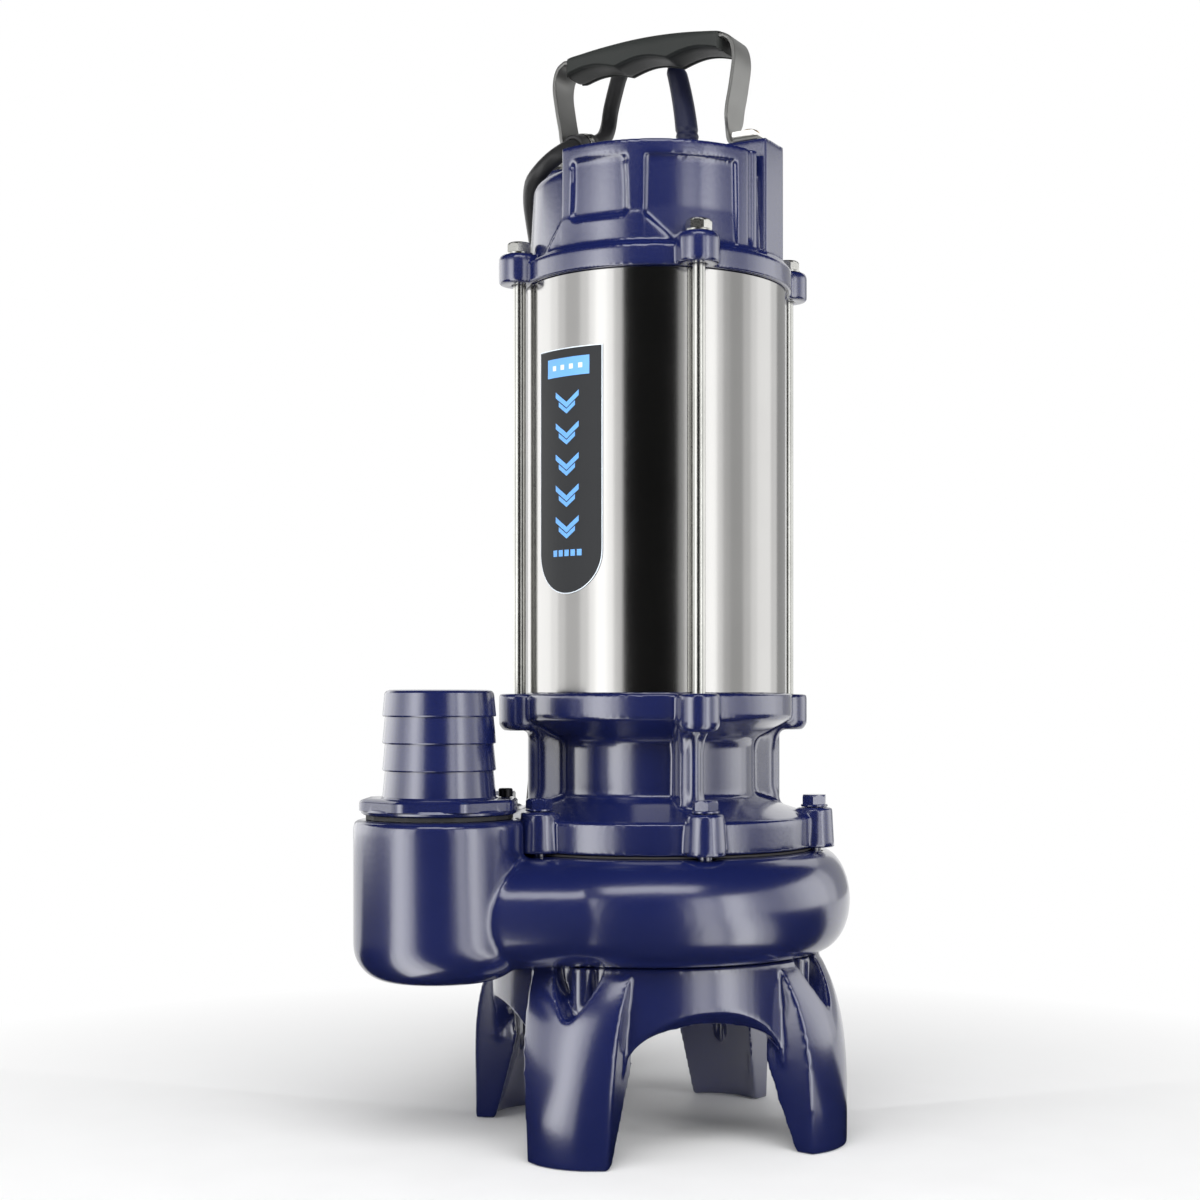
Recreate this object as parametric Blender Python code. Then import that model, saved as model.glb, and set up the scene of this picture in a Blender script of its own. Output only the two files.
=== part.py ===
"""Submersible slurry pump: volute on a four-legged base, steel motor jacket, cast cover and carrying handle.

Metres, +Z up. Every piece is drawn round the pump's own axis, and one empty carries them all, so that
the middle of the pump's footprint ends up at the world's origin. Angles are clock angles in degrees:
0 looks at the viewer along -Y, and positive angles turn towards +X.
"""

import math

import bmesh
import bpy
from mathutils import Matrix, Vector

# Clearances and overruns
FIT_GAP = 0.0003
CUT_OVERRUN = 0.002
WELD_DEPTH = 0.0015

# Roundness of turned pieces
COARSE_STEPS = 14
MEDIUM_STEPS = 20
FINE_STEPS = 28
BOSS_STEPS = 12
HOLE_STEPS = 8

# Bolt patterns
TIE_BOLT_ANGLE = 16.5
TIE_BOLT_COUNT = 4
TIE_BOLT_CIRCLE = 0.083
LID_BOLT_COUNT = 6
LID_BOLT_CIRCLE = 0.0965
LEG_ANGLE = -28.5
LEG_COUNT = 4
HANDLE_ANGLE = 61.5

# Base: a ring on four legs, with arches between them
BASE_HEIGHT = 0.1077
BASE_RADIUS = 0.097
BASE_WALL = 0.009
BASE_PLATE = 0.009
BASE_EYE_RADIUS = 0.046
SKIRT_BOTTOM = 0.050
ARCH_CROWN = 0.083
ARCH_HALF_WIDTH = 0.045
ARCH_SQUARENESS = 2.6
FOOT_RADIUS = 0.115
FOOT_HALF_WIDTH = 0.0225
LEG_TOP_HALF_WIDTH = 0.031
LEG_CURVE = 0.037
LEG_WALL = 0.0115
BASE_BOLT_CIRCLE = 0.0905
BASE_BOSS_RADIUS = 0.0085
BASE_BOSS_HEIGHT = 0.026
RECESS_HALF_WIDTH = 0.0135
RECESS_HEIGHT = 0.030
RECESS_FLOOR_RADIUS = 0.0915

# Volute
VOLUTE_HEIGHT = 0.059
VOLUTE_WALL = 0.007
VOLUTE_FOOT_RADIUS = 0.095
VOLUTE_SHOULDER_RADIUS = 0.0975
SPIRAL_START_RADIUS = 0.104
SPIRAL_END_RADIUS = 0.1225
SPIRAL_START_ANGLE = -100.0
SPIRAL_FADE = 60.0
CHAMBER_RADIUS = 0.084
CHAMBER_ROOF_DROP = 0.014
EYE_RADIUS = 0.036
PLATE_SEAT_RADIUS = 0.0875
PLATE_SEAT_DEPTH = 0.0085
OUTLET_X = -0.1205
OUTLET_Y = -0.075
OUTLET_RADIUS = 0.0475
OUTLET_RISE = 0.0215
OUTLET_DROP = 0.0087
OUTLET_ROUND = 0.020
OUTLET_BORE = 0.032
CHANNEL_HALF_WIDTH = 0.031
PASSAGE_START_SHARE = -0.05
HORN_START_SHARE = 0.03

# Hose barb
OUTLET_GASKET_RADIUS = 0.041
OUTLET_GASKET_THICKNESS = 0.0022
COLLAR_RADIUS = 0.0435
COLLAR_LIP = 0.0036
COLLAR_FLATS = 0.085
COLLAR_FACETS = 8
COLLAR_HEIGHT = 0.0087
BARB_HEIGHT = 0.060
BARB_RADIUS = 0.0315
BARB_STEP = 0.0014
BARB_STEP_COUNT = 4
BARB_BORE = 0.026
LOCK_SCREW_ANGLE = 105.0
LOCK_SCREW_CIRCLE = 0.0373
LOCK_SCREW_DEPTH = 0.012
LOCK_SCREW_RADIUS = 0.0025
LOCK_SCREW_HEAD_RADIUS = 0.0040
LOCK_SCREW_HEAD = 0.0045

# Oil chamber, the casting between volute and motor
VOLUTE_GASKET_THICKNESS = 0.001
LID_FLANGE_RADIUS = 0.094
LID_FLANGE_HEIGHT = 0.0184
LID_CONE_HEIGHT = 0.010
NECK_RADIUS = 0.058
NECK_HEIGHT = 0.036
NECK_FLARE = 0.0096
LID_TOP_RADIUS = 0.081
LID_TOP_HEIGHT = 0.0154
OIL_RADIUS = 0.050
OIL_ROOF = 0.012
LID_RIB_HALF_WIDTH = 0.0073
LID_RIB_RADIUS = 0.0755
LID_BOSS_RADIUS = 0.0115
LID_BOSS_HEIGHT = 0.030
BOSS_CLEARANCE = 0.001
LID_LUG_RADIUS = 0.012
LID_LUG_DROP = 0.006
OIL_PLUG_ANGLE = 130.0

# Motor jacket and stator
JACKET_RADIUS = 0.0775
JACKET_WALL = 0.0012
JACKET_LENGTH = 0.237
SPIGOT_HEIGHT = 0.006
SPIGOT_WALL = 0.006
SEAL_RING = 0.003
STATOR_BOTTOM = 0.042
WINDING_HEADROOM = 0.047
STATOR_BORE = 0.0412
STATOR_SLOTS = 18
STATOR_SLOT_DEPTH = 0.015
STATOR_SLOT_SHARE = 0.5
WINDING_HEIGHT = 0.028
WINDING_INNER = 0.045
WINDING_OUTER = 0.066

# Rotor
AIR_GAP = 0.0006
END_RING_HEIGHT = 0.010
END_RING_WALL = 0.012
SHAFT_CORE_RADIUS = 0.013
SHAFT_SEAL_RADIUS = 0.0095
SHAFT_END_RADIUS = 0.008
LOWER_BEARING_BORE = 0.010
LOWER_BEARING_RADIUS = 0.0235
LOWER_BEARING_HEIGHT = 0.014
UPPER_BEARING_BORE = 0.0085
UPPER_BEARING_RADIUS = 0.020
UPPER_BEARING_HEIGHT = 0.012
BEARING_RING_SHARE = 0.22
BALL_SHARE = 0.34
BALL_COUNT = 8
BALL_SEGMENTS = 6
CAGE_SHARE = 0.35
UPPER_BEARING_DROP = 0.0065
BRACKET_HEIGHT = 0.011
BRACKET_PLATE = 0.005
BRACKET_HUB_WALL = 0.006
BRACKET_WINDOW_RADIUS = 0.013
BRACKET_WINDOW_COUNT = 3
BRACKET_WINDOW_ANGLE = 106.5
WAVE_WASHER = 0.0008

# Seals in the oil chamber
SEAL_PLATE_BORE = 0.0145
SEAT_RING_WALL = 0.0045
SEAT_RING_HEIGHT = 0.006
SEAL_HEAD_RADIUS = 0.016
SEAL_HEAD_HEIGHT = 0.009
SPRING_WIRE = 0.0016
SPRING_RADIUS = 0.0138
SPRING_TURNS = 4
SPRING_SIDES = 4
SPRING_STEPS = 10

# Impeller
IMPELLER_RADIUS = 0.062
IMPELLER_SHROUD = 0.005
IMPELLER_TIP_GAP = 0.002
IMPELLER_BACK_GAP = 0.0018
HUB_RADIUS = 0.0155
VANE_COUNT = 5
VANE_THICKNESS = 0.004
VANE_SWEEP = 70.0
VANE_START = 0.020
VANE_STEPS = 7
NUT_FLATS = 0.019
NUT_HEIGHT = 0.008
KEY_WIDTH = 0.005
KEY_HEIGHT = 0.004
KEY_LENGTH = 0.018

# Top cover
COVER_FLANGE_RADIUS = 0.0805
COVER_FLANGE_HEIGHT = 0.0134
COVER_LUG_RADIUS = 0.012
COVER_LUG_HEIGHT = 0.0174
COVER_FOOT_RADIUS = 0.0748
COVER_TOP_RADIUS = 0.0728
COVER_HEIGHT = 0.0624
COVER_EDGE = 0.004
COVER_WALL = 0.0055
FRAME_RADIUS = 0.0765
FRAME_HEIGHT = 0.0714
FRAME_START = -44.6
FRAME_END = 48.0
FRAME_FOOT_START = -58.0
FRAME_FOOT_END = -6.0
FRAME_FOOT_HEIGHT = 0.0262
POCKET_FLOOR_RADIUS = 0.0742
POCKET_TOP = 0.0629
POCKET_START = -39.0
POCKET_END = -12.4
POCKET_BOTTOM = 0.0294
BAY_START = -5.0
BAY_END = 38.5
PAD_HALF_WIDTH = 0.012
PAD_INNER = 0.040
PAD_OUTER = 0.078
PAD_HEIGHT = 0.0799
PAD_BOSS_RADIUS = 0.0068
GLAND_BOSS_RADIUS = 0.014
GLAND_BOSS_HEIGHT = 0.004
SADDLE_HALF_LENGTH = 0.0045

# Handle
HANDLE_SHIFT = -0.004
STRAP_WIDTH = 0.022
STRAP_THICKNESS = 0.0025
STRAP_FOOT_INNER = 0.0545
STRAP_FOOT_OUTER = 0.0755
STRAP_BULGE = 0.0605
STRAP_RISE = 0.064
STRAP_BEND = 0.012
SCREW_INSET = 0.0095
SCREW_RADIUS = 0.003
SCREW_LENGTH = 0.014
SCREW_HEAD_RADIUS = 0.0058
SCREW_HEAD_HEIGHT = 0.0034
GRIP_HALF_LENGTH = 0.052
GRIP_WIDTH = 0.026
GRIP_BOTTOM_DROP = 0.0085
GRIP_CROWN = 0.0055
GRIP_RIM = 0.0035

# Tie bolts and other bolts
TIE_ROD_RADIUS = 0.00375
M8_RADIUS = 0.004
M8_FLATS = 0.013
M8_HEAD = 0.0056
WASHER_RADIUS = 0.0078
WASHER_THICKNESS = 0.0014

# Cover interior
CAPACITOR_RADIUS = 0.017
CAPACITOR_HALF_LENGTH = 0.030
CAPACITOR_OFFSET = -0.034
CAPACITOR_STRAP_WIDTH = 0.012
CAPACITOR_STRAP_THICKNESS = 0.0012
CAPACITOR_STRAP_FOOT = 0.010
TERMINAL_LENGTH = 0.040
TERMINAL_WIDTH = 0.014
TERMINAL_HEIGHT = 0.012
TERMINAL_OFFSET = 0.040

# Label plate
LABEL_START = -58.0
LABEL_END = -22.5
LABEL_THICKNESS = 0.0004
LABEL_DROP = 0.042
LABEL_HEIGHT = 0.139
LABEL_STEPS = 8

# Power cable: gland, boot, clamp, lead, hank, ties and plug
CABLE_DIAMETER = 0.010
CABLE_SIDE_STEPS = 2
CABLE_POINT_STEP = 0.021
GLAND_X = 0.0197
GLAND_Y = 0.0165
GLAND_NUT_FLATS = 0.022
GLAND_NUT_HEIGHT = 0.012
BOOT_BASE_RADIUS = 0.0073
BOOT_TOP_RADIUS = 0.0062
BOOT_TOP_X = 0.0135
BOOT_TOP_Y = 0.0205
BOOT_HEIGHT = 0.056
BUSH_X = -0.0442
BUSH_Y = 0.0238
BUSH_RISE = 0.0951
BUSH_HEADING_X = -0.45
BUSH_HEADING_Y = -0.83
BUSH_HEADING_Z = -0.30
BUSH_BACK = 0.009
BUSH_FRONT = 0.013
BUSH_RADIUS = 0.0075
BUSH_GROOVE_RADIUS = 0.0061
BUSH_GROOVE_HALF = 0.0030
BUSH_CLEARANCE = 0.0005
CLAMP_WALL = 0.0013
CLAMP_HALF_WIDTH = 0.0026
CLAMP_FOOT = 0.006
HANK_X = -0.076
HANK_Y = 0.260
HANK_RUN = 0.150
HANK_TURNS_WIDE = 2
HANK_TURNS_HIGH = 5
HANK_FOLD = 0.030
HANK_LIFT = 0.0020
HANK_STEPS = 8
HANK_TIE_WIDTH = 0.008
HANK_TIE_THICKNESS = 0.0012
HANK_TIE_OFFSET = 0.045
PLUG_RADIUS = 0.018
PLUG_LENGTH = 0.046
PLUG_OFFSET = 0.012
PIN_LENGTH = 0.019
PIN_WIDTH = 0.0062
PIN_THICKNESS = 0.0016
PIN_CIRCLE = 0.0085

# Heights that follow from the pieces stacked on each other
VOLUTE_BOTTOM = BASE_HEIGHT + FIT_GAP
VOLUTE_TOP = VOLUTE_BOTTOM + VOLUTE_HEIGHT
CHAMBER_FLOOR = VOLUTE_BOTTOM + VOLUTE_WALL
CHAMBER_ROOF = VOLUTE_TOP - CHAMBER_ROOF_DROP
OUTLET_TOP = VOLUTE_TOP + OUTLET_RISE
COLLAR_BOTTOM = OUTLET_TOP + OUTLET_GASKET_THICKNESS + 2 * FIT_GAP
LID_BOTTOM = VOLUTE_TOP + VOLUTE_GASKET_THICKNESS + 2 * FIT_GAP
LID_FLANGE_TOP = LID_BOTTOM + LID_FLANGE_HEIGHT
NECK_BOTTOM = LID_FLANGE_TOP + LID_CONE_HEIGHT
NECK_TOP = NECK_BOTTOM + NECK_HEIGHT
LID_RIM_BOTTOM = NECK_TOP + NECK_FLARE
LID_TOP = LID_RIM_BOTTOM + LID_TOP_HEIGHT
JACKET_BOTTOM = LID_TOP + FIT_GAP
JACKET_TOP = JACKET_BOTTOM + JACKET_LENGTH
JACKET_BORE = JACKET_RADIUS - JACKET_WALL
LABEL_TOP = JACKET_LENGTH - LABEL_DROP
COVER_BOTTOM = JACKET_TOP + FIT_GAP
COVER_TOP = COVER_BOTTOM + COVER_HEIGHT
BUSH_Z = COVER_BOTTOM + BUSH_RISE
COVER_ROOF = COVER_TOP - COVER_WALL
CAVITY_RADIUS = COVER_TOP_RADIUS - COVER_WALL
PAD_TOP = COVER_BOTTOM + PAD_HEIGHT
BRACKET_TOP = JACKET_TOP
BRACKET_BOTTOM = BRACKET_TOP - BRACKET_HEIGHT
STATOR_BASE = JACKET_BOTTOM + STATOR_BOTTOM
STATOR_LENGTH = JACKET_LENGTH - STATOR_BOTTOM - WINDING_HEIGHT - WINDING_HEADROOM
STATOR_TOP = STATOR_BASE + STATOR_LENGTH
ROTOR_RADIUS = STATOR_BORE - AIR_GAP
OIL_TOP = NECK_TOP - OIL_ROOF + NECK_FLARE / 2
LOWER_BEARING_BOTTOM = OIL_TOP + OIL_ROOF
LOWER_BEARING_TOP = LOWER_BEARING_BOTTOM + LOWER_BEARING_HEIGHT
UPPER_BEARING_TOP = BRACKET_TOP - UPPER_BEARING_DROP
UPPER_BEARING_BOTTOM = UPPER_BEARING_TOP - UPPER_BEARING_HEIGHT
PLATE_BOTTOM = VOLUTE_TOP - PLATE_SEAT_DEPTH + FIT_GAP
PLATE_TOP = LID_BOTTOM - FIT_GAP
IMPELLER_TOP = min(CHAMBER_ROOF, PLATE_BOTTOM) - IMPELLER_BACK_GAP
VANE_BOTTOM = CHAMBER_FLOOR + IMPELLER_TIP_GAP
HUB_BOTTOM = VANE_BOTTOM + NUT_HEIGHT + FIT_GAP
SEAL_LOW = PLATE_TOP
SEAL_HIGH = OIL_TOP


def clock(radius, angle, height=0.0):
    """Point at a clock angle round the pump's axis."""
    turn = math.radians(angle)
    return Vector((radius * math.sin(turn), -radius * math.cos(turn), height))


def pattern(first, count):
    """Equally spaced clock angles."""
    return [first + 360.0 * index / count for index in range(count)]


def fresh_scene():
    """Remove whatever the scene holds."""
    for item in list(bpy.context.scene.objects):
        bpy.data.objects.remove(item, do_unlink=True)


# Solids, each returned as a closed bmesh


def closed(bm):
    """Weld doubled points and turn every face outwards."""
    bmesh.ops.remove_doubles(bm, verts=bm.verts, dist=FIT_GAP / 100)
    bmesh.ops.recalc_face_normals(bm, faces=bm.faces)
    return bm


def turned(profile, steps=MEDIUM_STEPS):
    """Turn a (radius, height) profile round Z; a profile that starts and ends on the axis stays open there."""
    bm = bmesh.new()
    points = [bm.verts.new((radius, 0.0, height)) for radius, height in profile]
    on_axis = profile[0][0] == 0.0 and profile[-1][0] == 0.0
    pairs = list(zip(points, points[1:]))
    if not on_axis:
        pairs.append((points[-1], points[0]))
    edges = [bm.edges.new(pair) for pair in pairs]
    bmesh.ops.spin(bm, geom=points + edges, cent=(0.0, 0.0, 0.0), axis=(0.0, 0.0, 1.0),
                   angle=2 * math.pi, steps=steps, use_duplicate=False)
    return closed(bm)


def lofted(rings, looped=False):
    """Skin rings of points; looped joins the last ring to the first, else both ends are capped."""
    bm = bmesh.new()
    rows = [[bm.verts.new(point) for point in ring] for ring in rings]
    count = len(rows[0])
    pairs = list(zip(rows, rows[1:]))
    if looped:
        pairs.append((rows[-1], rows[0]))
    for lower, upper in pairs:
        for index in range(count):
            after = (index + 1) % count
            bm.faces.new((lower[index], lower[after], upper[after], upper[index]))
    if not looped:
        bm.faces.new(rows[0])
        bm.faces.new(rows[-1])
    return closed(bm)


def prism(outline, bottom, top):
    """Raise a flat (x, y) outline from bottom to top."""
    return lofted([[(x, y, height) for x, y in outline] for height in (bottom, top)])


def ring_outline(radius, steps=MEDIUM_STEPS, x=0.0, y=0.0):
    """Points of a circle."""
    turns = [2 * math.pi * index / steps for index in range(steps)]
    return [(x + radius * math.cos(turn), y + radius * math.sin(turn)) for turn in turns]


def hexagon(flats, height, sides=6):
    """Twelve points on a hexagon's edges, so that a round shank can follow it."""
    corner = flats / 2 / math.cos(math.pi / sides)
    corners = [Vector((corner * math.cos(2 * math.pi * k / sides), corner * math.sin(2 * math.pi * k / sides), height))
               for k in range(sides)]
    ring = []
    for index, start in enumerate(corners):
        ring += [start, (start + corners[(index + 1) % sides]) / 2]
    return ring


def circle(radius, height, steps=12):
    """A level ring of points."""
    return [Vector((x, y, height)) for x, y in ring_outline(radius, steps)]


def tube_ring(inner, outer, bottom, top, steps=MEDIUM_STEPS):
    """A plain ring of rectangular section."""
    return turned([(outer, top), (outer, bottom), (inner, bottom), (inner, top)], steps)


def rod(radius, bottom, top, steps=COARSE_STEPS):
    """A plain round bar."""
    return prism(ring_outline(radius, steps), bottom, top)


def sector(inner, outer, start, end, bottom, top, steps):
    """Part of a ring between two clock angles."""
    angles = [start + (end - start) * index / steps for index in range(steps + 1)]
    far = [clock(outer, angle) for angle in angles]
    near = [clock(inner, angle) for angle in reversed(angles)]
    return prism([(point.x, point.y) for point in far + near], bottom, top)


def block(length, width, bottom, top):
    """A box centred on the axis, long in X."""
    x, y = length / 2, width / 2
    return prism([(-x, -y), (x, -y), (x, y), (-x, y)], bottom, top)


def bolt(shank_radius, length, flats=M8_FLATS, head=M8_HEAD, washer=WASHER_THICKNESS):
    """Hexagon head with its washer above the origin, and a shank below it."""
    return lofted([hexagon(flats, washer + head), hexagon(flats, washer), circle(WASHER_RADIUS, washer),
                   circle(WASHER_RADIUS, 0.0), circle(shank_radius, 0.0), circle(shank_radius, -length)])


def moved(bm, offset=(0.0, 0.0, 0.0), turn=None):
    """Turn and then shift a solid."""
    matrix = Matrix.Translation(offset)
    if turn is not None:
        matrix = matrix @ turn
    bmesh.ops.transform(bm, matrix=matrix, verts=bm.verts)
    return bm


def facing(angle):
    """Turn that brings +X to a clock angle."""
    return Matrix.Rotation(math.radians(angle - 90.0), 4, "Z")


def grouped(solids):
    """Several solids in one mesh, still separate."""
    gathered = bmesh.new()
    for solid in solids:
        passing = bpy.data.meshes.new("passing")
        solid.to_mesh(passing)
        gathered.from_mesh(passing)
        bpy.data.meshes.remove(passing)
    return gathered


def combined(base, tools, operation):
    """Union with the tools, or cut them away."""
    helpers = []
    for solid in [base] + tools:
        mesh = bpy.data.meshes.new("helper")
        solid.to_mesh(mesh)
        helper = bpy.data.objects.new("helper", mesh)
        bpy.context.scene.collection.objects.link(helper)
        helpers.append(helper)
    for helper in helpers[1:]:
        modifier = helpers[0].modifiers.new("combine", "BOOLEAN")
        modifier.operation = operation
        modifier.solver = "EXACT"
        modifier.object = helper
    graph = bpy.context.evaluated_depsgraph_get()
    result = bmesh.new()
    result.from_mesh(bpy.data.meshes.new_from_object(helpers[0].evaluated_get(graph)))
    for helper in helpers:
        bpy.data.objects.remove(helper, do_unlink=True)
    bmesh.ops.remove_doubles(result, verts=result.verts, dist=FIT_GAP / 300)
    return result


def united(base, *tools):
    return combined(base, list(tools), "UNION")


def cut(base, *tools):
    return combined(base, list(tools), "DIFFERENCE")


# Finishes and nodes

FINISHES = {
    "navy_paint": ((0.010, 0.018, 0.115), 0.30, 0.0),
    "stainless": ((0.62, 0.61, 0.59), 0.18, 1.0),
    "zinc": ((0.66, 0.66, 0.63), 0.35, 1.0),
    "strap_steel": ((0.36, 0.37, 0.35), 0.42, 1.0),
    "brass": ((0.72, 0.50, 0.20), 0.30, 1.0),
    "black_rubber": ((0.018, 0.018, 0.020), 0.65, 0.0),
    "grip_plastic": ((0.042, 0.046, 0.045), 0.50, 0.0),
    "navy_rubber": ((0.012, 0.016, 0.060), 0.55, 0.0),
    "black_steel": ((0.030, 0.030, 0.032), 0.40, 1.0),
    "grey_iron": ((0.20, 0.20, 0.21), 0.60, 1.0),
    "lamination": ((0.30, 0.31, 0.33), 0.50, 1.0),
    "copper": ((0.65, 0.24, 0.10), 0.38, 1.0),
    "ground_steel": ((0.58, 0.58, 0.58), 0.25, 1.0),
    "carbon": ((0.05, 0.05, 0.055), 0.45, 0.0),
    "gasket": ((0.10, 0.085, 0.07), 0.80, 0.0),
    "cream_plastic": ((0.72, 0.68, 0.58), 0.45, 0.0),
    "label_dark": ((0.030, 0.032, 0.036), 0.40, 0.0),
}


def finish(name):
    """The material of a named finish, made once."""
    material = bpy.data.materials.get(name)
    if material is None:
        colour, roughness, metallic = FINISHES[name]
        material = bpy.data.materials.new(name)
        material.use_nodes = True
        shader = material.node_tree.nodes["Principled BSDF"]
        shader.inputs["Base Color"].default_value = (*colour, 1.0)
        shader.inputs["Roughness"].default_value = roughness
        shader.inputs["Metallic"].default_value = metallic
    return material


def node(name, solid, finish_name, parent):
    """Make a named object from a solid."""
    mesh = bpy.data.meshes.new(name)
    solid.to_mesh(mesh)
    mesh.materials.clear()
    mesh.materials.append(finish(finish_name))
    mesh.shade_smooth()
    mesh.set_sharp_from_angle(angle=math.radians(35.0))
    item = bpy.data.objects.new(name, mesh)
    item.parent = parent
    bpy.context.scene.collection.objects.link(item)
    return item


# Base


def leg_ring(outer, half_width, curve, wall, height, steps=6):
    """Plan of a leg at one height: an outer arc, and the same arc set in by the wall."""
    spread = math.asin(half_width / curve)
    turns = [spread * (2 * index / steps - 1) for index in range(steps + 1)]
    middle = outer - curve
    front = [(middle + curve * math.cos(turn), curve * math.sin(turn), height) for turn in turns]
    back = [(x - wall, y * (1 - wall / curve / 2), z) for x, y, z in reversed(front)]
    return front + back


def leg():
    """One C-shaped leg, pointing along +X."""
    top = BASE_HEIGHT - BASE_PLATE / 2
    heights = [0.0, SKIRT_BOTTOM - WELD_DEPTH, (SKIRT_BOTTOM + top) / 2, top]
    rings = []
    for height in heights:
        share = height / top
        outer = FOOT_RADIUS + (BASE_RADIUS + WELD_DEPTH - FOOT_RADIUS) * share
        half_width = FOOT_HALF_WIDTH + (LEG_TOP_HALF_WIDTH - FOOT_HALF_WIDTH) * share
        curve = LEG_CURVE + (BASE_RADIUS - LEG_CURVE) * share ** 2
        rings.append(leg_ring(outer, half_width, curve, LEG_WALL, height))
    return lofted(rings)


def arch():
    """Cutter for the arch between two legs, pointing along +X."""
    crown = ARCH_CROWN - SKIRT_BOTTOM
    turns = [math.pi * index / 12 for index in range(13)]
    power = 2 / ARCH_SQUARENESS
    outline = [(ARCH_HALF_WIDTH * math.copysign(abs(math.cos(turn)) ** power, math.cos(turn)),
                crown * math.sin(turn) ** power) for turn in turns]
    outline += [(-ARCH_HALF_WIDTH, -CUT_OVERRUN), (ARCH_HALF_WIDTH, -CUT_OVERRUN)]
    near = BASE_RADIUS / 2
    far = BASE_RADIUS + LEG_CURVE / 2
    return lofted([[(x, y, SKIRT_BOTTOM + z) for y, z in outline] for x in (near, far)])


def recess():
    """Cutter for the V-shaped recess at the top of a leg."""
    tip = BASE_HEIGHT - RECESS_HEIGHT
    rings = []
    for x in (RECESS_FLOOR_RADIUS, FOOT_RADIUS):
        rings.append([(x, -RECESS_HALF_WIDTH, BASE_HEIGHT + CUT_OVERRUN), (x, -RECESS_HALF_WIDTH, BASE_HEIGHT + FIT_GAP),
                      (x, 0.0, tip), (x, RECESS_HALF_WIDTH, BASE_HEIGHT + FIT_GAP),
                      (x, RECESS_HALF_WIDTH, BASE_HEIGHT + CUT_OVERRUN)])
    return lofted(rings)


def build_base(pump):
    """Cast base with four legs, each with a bolt boss in a recess at its top."""
    angles = pattern(LEG_ANGLE, LEG_COUNT)
    inner = BASE_RADIUS - BASE_WALL
    plate_bottom = BASE_HEIGHT - BASE_PLATE
    skirt = turned([(BASE_RADIUS, BASE_HEIGHT), (BASE_RADIUS, SKIRT_BOTTOM), (inner, SKIRT_BOTTOM),
                    (inner, plate_bottom), (BASE_EYE_RADIUS, plate_bottom), (BASE_EYE_RADIUS, BASE_HEIGHT)],
                   FINE_STEPS)
    arches = [moved(arch(), turn=facing(angle + 180.0 / LEG_COUNT)) for angle in angles]
    solid = cut(skirt, grouped(arches))
    solid = united(solid, grouped([moved(leg(), turn=facing(angle)) for angle in angles]))
    solid = cut(solid, grouped([moved(recess(), turn=facing(angle)) for angle in angles]))
    boss_bottom = BASE_HEIGHT - BASE_BOSS_HEIGHT
    boss = rod(BASE_BOSS_RADIUS, boss_bottom, BASE_HEIGHT - FIT_GAP, BOSS_STEPS)
    bosses = [moved(boss.copy(), clock(BASE_BOLT_CIRCLE, angle)) for angle in angles]
    solid = united(solid, grouped(bosses))
    hole_radius = M8_RADIUS + FIT_GAP
    hole = rod(hole_radius, -CUT_OVERRUN, BASE_HEIGHT + CUT_OVERRUN, HOLE_STEPS)
    solid = cut(solid, grouped([moved(hole.copy(), clock(BASE_BOLT_CIRCLE, angle)) for angle in angles]))
    node("base", solid, "navy_paint", pump)


# Volute


def spiral_radius(angle):
    """Outer radius of the volute at a clock angle; it grows from the tongue and fades inside the outlet."""
    run = (SPIRAL_START_ANGLE - angle) % 360.0
    grown = SPIRAL_START_RADIUS + (SPIRAL_END_RADIUS - SPIRAL_START_RADIUS) * run / (360.0 - SPIRAL_FADE)
    if run <= 360.0 - SPIRAL_FADE:
        return grown
    share = (360.0 - run) / SPIRAL_FADE
    smooth = share * share * (3 - 2 * share)
    return SPIRAL_START_RADIUS + (SPIRAL_END_RADIUS - SPIRAL_START_RADIUS) * smooth


def half_ellipse(radius, bottom, top, reach, top_radius, count):
    """Points of a bulge from (radius, bottom) out to reach and back to (top_radius, top)."""
    middle = (bottom + top) / 2
    points = []
    for index in range(count + 1):
        turn = math.pi * (index / count - 0.5)
        base = radius + (top_radius - radius) * index / count
        points.append((base + (reach - base) * math.cos(turn), middle + (top - bottom) / 2 * math.sin(turn)))
    return points


def volute_section(angle):
    """Wall of the volute at a clock angle, as (radius, height) points."""
    reach = spiral_radius(angle)
    outer = half_ellipse(VOLUTE_FOOT_RADIUS, VOLUTE_BOTTOM, VOLUTE_TOP, reach, VOLUTE_SHOULDER_RADIUS, 6)
    ledge = VOLUTE_TOP - PLATE_SEAT_DEPTH
    rim = [(PLATE_SEAT_RADIUS, VOLUTE_TOP), (PLATE_SEAT_RADIUS, ledge), (CHAMBER_RADIUS, ledge)]
    inner = half_ellipse(CHAMBER_RADIUS, CHAMBER_FLOOR, CHAMBER_ROOF, reach - VOLUTE_WALL, CHAMBER_RADIUS, 4)
    return outer + rim + inner[::-1] + [(EYE_RADIUS, CHAMBER_FLOOR), (EYE_RADIUS, VOLUTE_BOTTOM)]


def channel(half_width, half_height, middle, start, sides=14):
    """Tube from the front of the spiral to the outlet; start is a share of its length."""
    rings = []
    start_y = -(spiral_radius(0.0) - CHANNEL_HALF_WIDTH - WELD_DEPTH / 2)
    for share in (start, 0.5, 0.98):
        x = OUTLET_X * share
        y = start_y + (OUTLET_Y - start_y) * share
        wide = half_width + (OUTLET_RADIUS - CHANNEL_HALF_WIDTH) * share * 0.7
        rings.append([(x, y + wide * math.cos(turn), middle + half_height * math.sin(turn))
                      for turn in (2 * math.pi * index / sides for index in range(sides))])
    return lofted(rings)


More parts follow.
